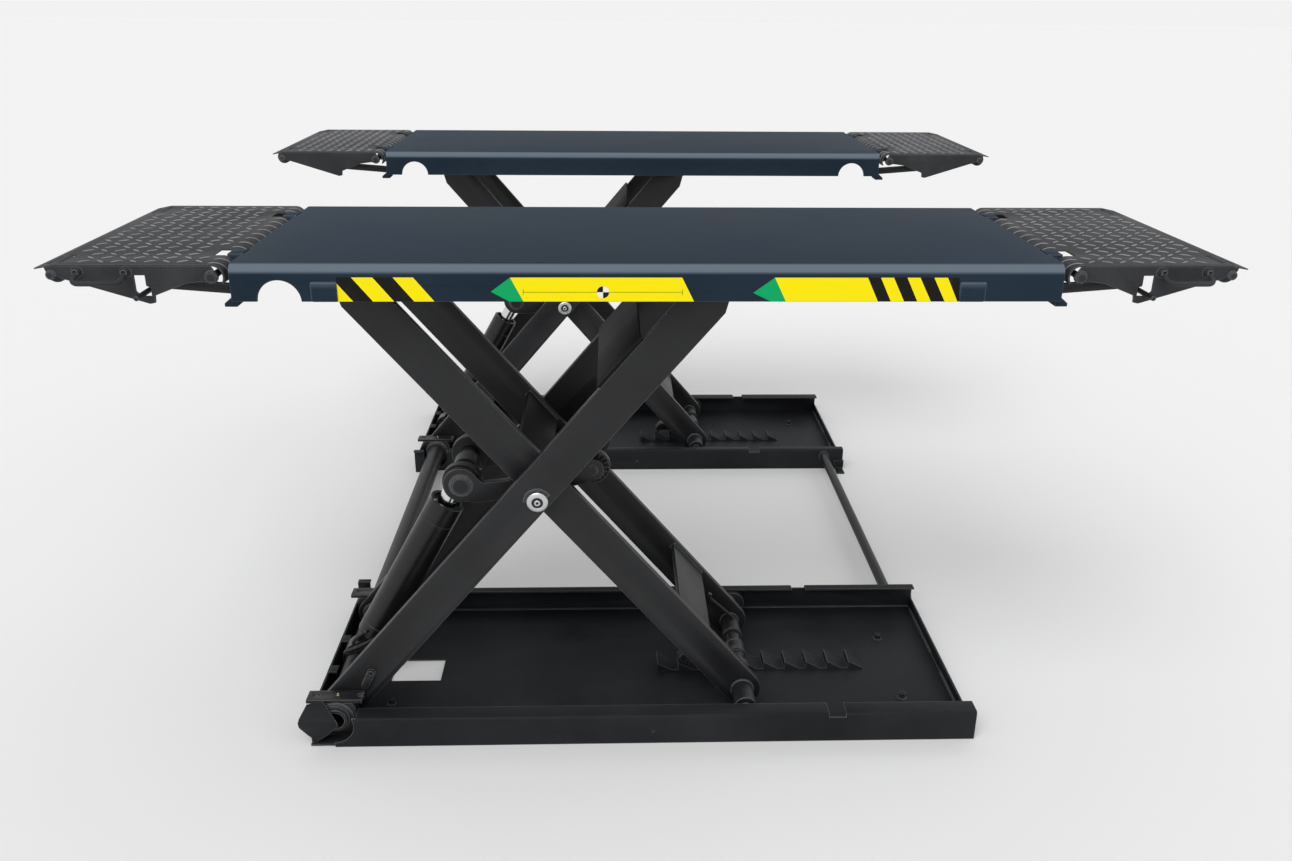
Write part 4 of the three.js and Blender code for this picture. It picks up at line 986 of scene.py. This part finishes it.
def ramp_parts():
    """The plate with its skirts, bosses, hinge pin, roller axle, tip rollers and handle."""
    parts = [ramp_shell()]
    parts += [ramp_skirt(y0, y1, y0 < MIDDLE) for y0, y1 in both(*RAMP_Y)]
    parts += pins(0, 0, 11, (1, 8), 0.8) + pins(*TIP_AXLE, 8, (1, 8), 0.8, 32)
    parts += [pin(0, 0, 6, *twice(RAMP_Y[0]), 0.5, 24), pin(*TIP_AXLE, 4, *twice(RAMP_Y[0]), 0.5, 20)]
    parts += [*pins(*TIP_AXLE, 17.2, (22, 78), 1.0, 32), swept(handle_points(), 4.5)]
    # bolt heads on the hinge and the roller axle, and collars at the handle's two roots
    for bolt, cap in zip(both(-2.6, 1.4), both(-1, 1.4)):
        parts += [hexagon(0, 0, 15, *bolt, 12), pin(*TIP_AXLE, 6.2, *cap, 0.8, 32)]
    collar = [(3.8, -5.5), (5.4, -5.2), (6.6, -1.0), (9.2, 3.0), (9.2, 4.4), (3.8, 4.4)]
    parts += [turned(x, 9, collar, 24) for x in HANDLE]
    # beads under the plate along both skirts
    return parts + [bead((-250, y, 17.6), (-26, y, 17.6), 1.8) for y in twice(RAMP_Y[1])]


def blocked(x, y):
    """Whether a lug's centre falls on a cut-out of the ramp's plate."""
    from_edge = min(y, DECK_WIDTH - y)
    over_roller = x < -238 and from_edge < 94
    over_tongue = x > -36 and 62 < from_edge < 138
    return over_roller or over_tongue or x < -256


def raise_lug(bm, x, y, lean):
    """One raised lug, a long oval with a rounded top."""
    half, wide, high, steps = 10.5, 2.0, 1.4, 12
    loops = []
    for share, up in ((1.0, 0.0), (0.82, 0.7), (0.45, 1.0)):
        loop = []
        for k in range(steps):
            t = 2 * pi * k / steps
            along, aside = half * share * cos(t), wide * share * sin(t)
            px = x + along * cos(lean) - aside * sin(lean)
            py = y + along * sin(lean) + aside * cos(lean)
            loop.append(bm.verts.new((px, py, LUG_BASE + high * up)))
        loops.append(loop)
    stitch(bm, loops)
    bm.faces.new(loops[-1])


def tread():
    """The lugs of the tear plate, which lean one way and then the other."""
    bm = bmesh.new()
    pitch, columns, rows, lean = 27.5, 9, 19, radians(40)
    for row in range(rows):
        y = MIDDLE + (row - (rows - 1) / 2) * pitch
        for column in range(columns):
            x = -12 - (column + 0.5) * pitch
            if not blocked(x, y):
                raise_lug(bm, x, y, lean if (row + column) % 2 else -lean)
    return bm


def curl_lug(y):
    """A lug bent round the hinge curl."""
    bends = enumerate(ring_of(0, 0, LUG_BASE, 112, -6, 8))
    return swept([(x, y - 9 + 18 * i / 8, z) for i, (x, z) in bends], 1.4, 8)


CURL_LUGS = (22, 52, 148, 186, 224, 262, 300, 338, 376, 414, 492, 522)


def prop_parts():
    """Two flat stays and the cross rod that they share."""
    slope = degrees(atan2(STAY[1], STAY[0]))
    outline = ring_of(*STAY, 9, slope - 90, slope + 90, 14) + ring_of(0, 0, 9, slope + 90, slope + 270, 14)
    stays = plates([outline, hole(0, 0, 6.8)], (66, 74), 0.8)
    return [*stays, pin(*STAY, 4.5, -38, DECK_WIDTH - 8.8, 1.0, 24)]


for word, turn in (("left", FLOOR), ("right", Matrix.Scale(-1, 4, (1, 0, 0)))):
    flap = "ramp_" + word + "_flap"
    show(word + "_ramp_plate", ramp_parts(), tread_coat, flap, "ramp_" + word, turn @ RAMP)
    lugs = [tread(), *[curl_lug(y) for y in CURL_LUGS]]
    show(word + "_ramp_lugs", lugs, lug_wear_and_highlight_coat, flap, group=turn @ RAMP)
    node = "prop_" + word
    show(word + "_ramp_prop", prop_parts(), black_coat, node + "_stay", node, turn @ PROP)


# Markings on the near platform's outer skirt, thin vinyl film laid on the paint, with print on top of it

FILM_LOW, FILM_HIGH = -63.8, -22.2
LAID, PRINTED = (-0.3, -0.05), (-0.4, -0.31)


def leaning(top0, top1, low0, low1):
    """A band of film between its top and bottom edges."""
    return [(top0, FILM_HIGH), (low0, FILM_LOW), (low1, FILM_LOW), (top1, FILM_HIGH)]


def upright_cut(ring, x0):
    """The part of a ring to the right of an upright line."""
    out = []
    for i, p in enumerate(ring):
        q = ring[(i + 1) % len(ring)]
        if p[0] >= x0:
            out.append(p)
        if (p[0] >= x0) != (q[0] >= x0):
            out.append((x0, p[1] + (x0 - p[0]) / (q[0] - p[0]) * (q[1] - p[1])))
    return out


def film(name, rings, material, depth=LAID):
    """Pieces of film or print on the outer skirt, part of a millimetre proud."""
    flat = joined(*[prism([ring], *depth, edge=0) for ring in rings])
    show(name, flat, material, "platform", group=PLATFORM, units=("near",))


LEAN, LEFT_EDGE = 33.5, -531
LEFT_LOWS = [-545, -506, -472.5, -437, -403, -369]
left_bands = [leaning(a - LEAN, b - LEAN, a, b) for a, b in zip(LEFT_LOWS, LEFT_LOWS[1:])]
left_rings = [upright_cut(band, LEFT_EDGE) for band in left_bands]
film("left_stripes_yellow", left_rings[0::2], film_yellow)
film("left_stripes_black", left_rings[1::2], film_black)

film("centre_arrow", [[(-273, -46.8), (-242, FILM_LOW), (-218, FILM_LOW), (-239.5, FILM_HIGH)]], film_green)
film("centre_panel", [leaning(-239.5, 52, -218, 73)], film_yellow)
RIGHT_TOPS = [369.6, 392, 414.3, 437.6, 459.9, 484, 507.4, 527.5]
RIGHT_LOWS = [390, 412.5, 435.5, 458.5, 482, 506, 528, 531.5]
right_rings = [leaning(*edges) for edges in zip(RIGHT_TOPS, RIGHT_TOPS[1:], RIGHT_LOWS, RIGHT_LOWS[1:])]
film("right_arrow", [[(174, -48.8), (205, FILM_LOW), (231, FILM_LOW), (210.3, FILM_HIGH)]], film_green)
film("right_panel", [leaning(210.3, 369.6, 231, 390)], film_yellow)
film("right_stripes_black", right_rings[0::2], film_black)
film("right_stripes_yellow", right_rings[1::2], film_yellow)

MARK = (-82.6, -47.6)
MARK_RADIUS = 10.4


def printed_bar(x0, x1, half):
    """A printed bar on the centre line, as tall as twice its half."""
    return [(x0, MARK[1] - half), (x1, MARK[1] - half), (x1, MARK[1] + half), (x0, MARK[1] + half)]


def quarter(a):
    """A quarter of the round mark, from angle a on."""
    return [MARK, *ring_of(*MARK, MARK_RADIUS, a, a + 90, 12)]


bars = ((-218, MARK[0] - 10, 0.35), (MARK[0] + 10, 53, 0.35), (-218.4, -217.7, 5), (52.7, 53.4, 5))
film("centre_line", [printed_bar(*bar) for bar in bars], film_black, PRINTED)
film("centre_disc_black", [quarter(a) for a in (90, 270)], film_black, PRINTED)
film("centre_disc_white", [quarter(a) for a in (0, 180)], film_white, PRINTED)


# Floor, light and camera

FLOOR_HALF = 60.0
LAMPS = (("key", (-1.2, -2.6, 3.8), 42, 1.2), ("fill", (2.2, 0.8, 3.2), 60, 0.2))
# the photograph's frame and focal length in its own pixels, and where it was taken from
PHOTO_WIDTH, FOCAL = 1292, 1092.72
PITCH, YAW, ROLL = 0.3809, -0.0341, -0.0087
STANDPOINT = (-0.06928, -2.78589, 1.42222)
SENSOR = 36.0


def studio():
    """A pale floor that meets a backdrop of the same tone, and soft light from above and both sides."""
    mesh = bpy.data.meshes.new("studio_floor")
    corners = [(x * FLOOR_HALF, y * FLOOR_HALF, 0) for x, y in ((-1, -1), (1, -1), (1, 1), (-1, 1))]
    mesh.from_pydata(corners, [], [(0, 1, 2, 3)])
    floor = new_object("studio_floor", mesh)
    floor.location.z = -0.0005
    paint = {"Base Color": linear("#f0f0f0"), "Roughness": 0.9, "Specular IOR Level": 0.1}
    mesh.materials.append(new_material("pale_studio_floor", paint)[0])

    world = bpy.data.worlds.new("studio")
    bpy.context.scene.world = world
    world.use_nodes = True
    tree = world.node_tree
    tree.nodes.clear()
    path = add(tree, "LightPath")
    seen = path.outputs["Is Camera Ray"]
    for ray in ("Is Glossy Ray", "Is Transmission Ray"):
        either = add(tree, "Math", {"operation": "MAXIMUM"}, {0: seen, 1: path.outputs[ray]})
        seen = either.outputs["Value"]
    light = add(tree, "Background", {"Color": linear("#ffffff"), "Strength": 0.67})
    backdrop = add(tree, "Background", {"Color": linear("#f2f2f2"), "Strength": 1.0})
    choice = {0: seen, 1: light.outputs["Background"], 2: backdrop.outputs["Background"]}
    mix = add(tree, "MixShader", {}, choice)
    add(tree, "OutputWorld", {}, {"Surface": mix.outputs["Shader"]})

    # wide soft lamps far away, so the floor is lit alike everywhere
    for name, towards, spread, strength in LAMPS:
        lamp = bpy.data.lights.new(name, "SUN")
        lamp.angle = radians(spread)
        lamp.energy = strength
        new_object(name, lamp).rotation_euler = Vector(towards).to_track_quat("Z", "Y").to_euler()


def camera():
    """The photograph's view, looking down on the lift from the front."""
    placed = Matrix.Translation(STANDPOINT)
    for angle, axis in ((YAW, "Z"), (-PITCH, "X"), (ROLL, "Y"), (pi / 2, "X")):
        placed = placed @ Matrix.Rotation(angle, 4, axis)
    data = bpy.data.cameras.new("photo_camera")
    data.sensor_width = SENSOR
    data.lens = SENSOR * FOCAL / PHOTO_WIDTH
    data.clip_end = 200
    bpy.context.scene.camera = new_object("photo_camera", data)
    bpy.context.scene.camera.matrix_world = placed


studio()
camera()
bpy.context.scene.view_settings.view_transform = "Standard"
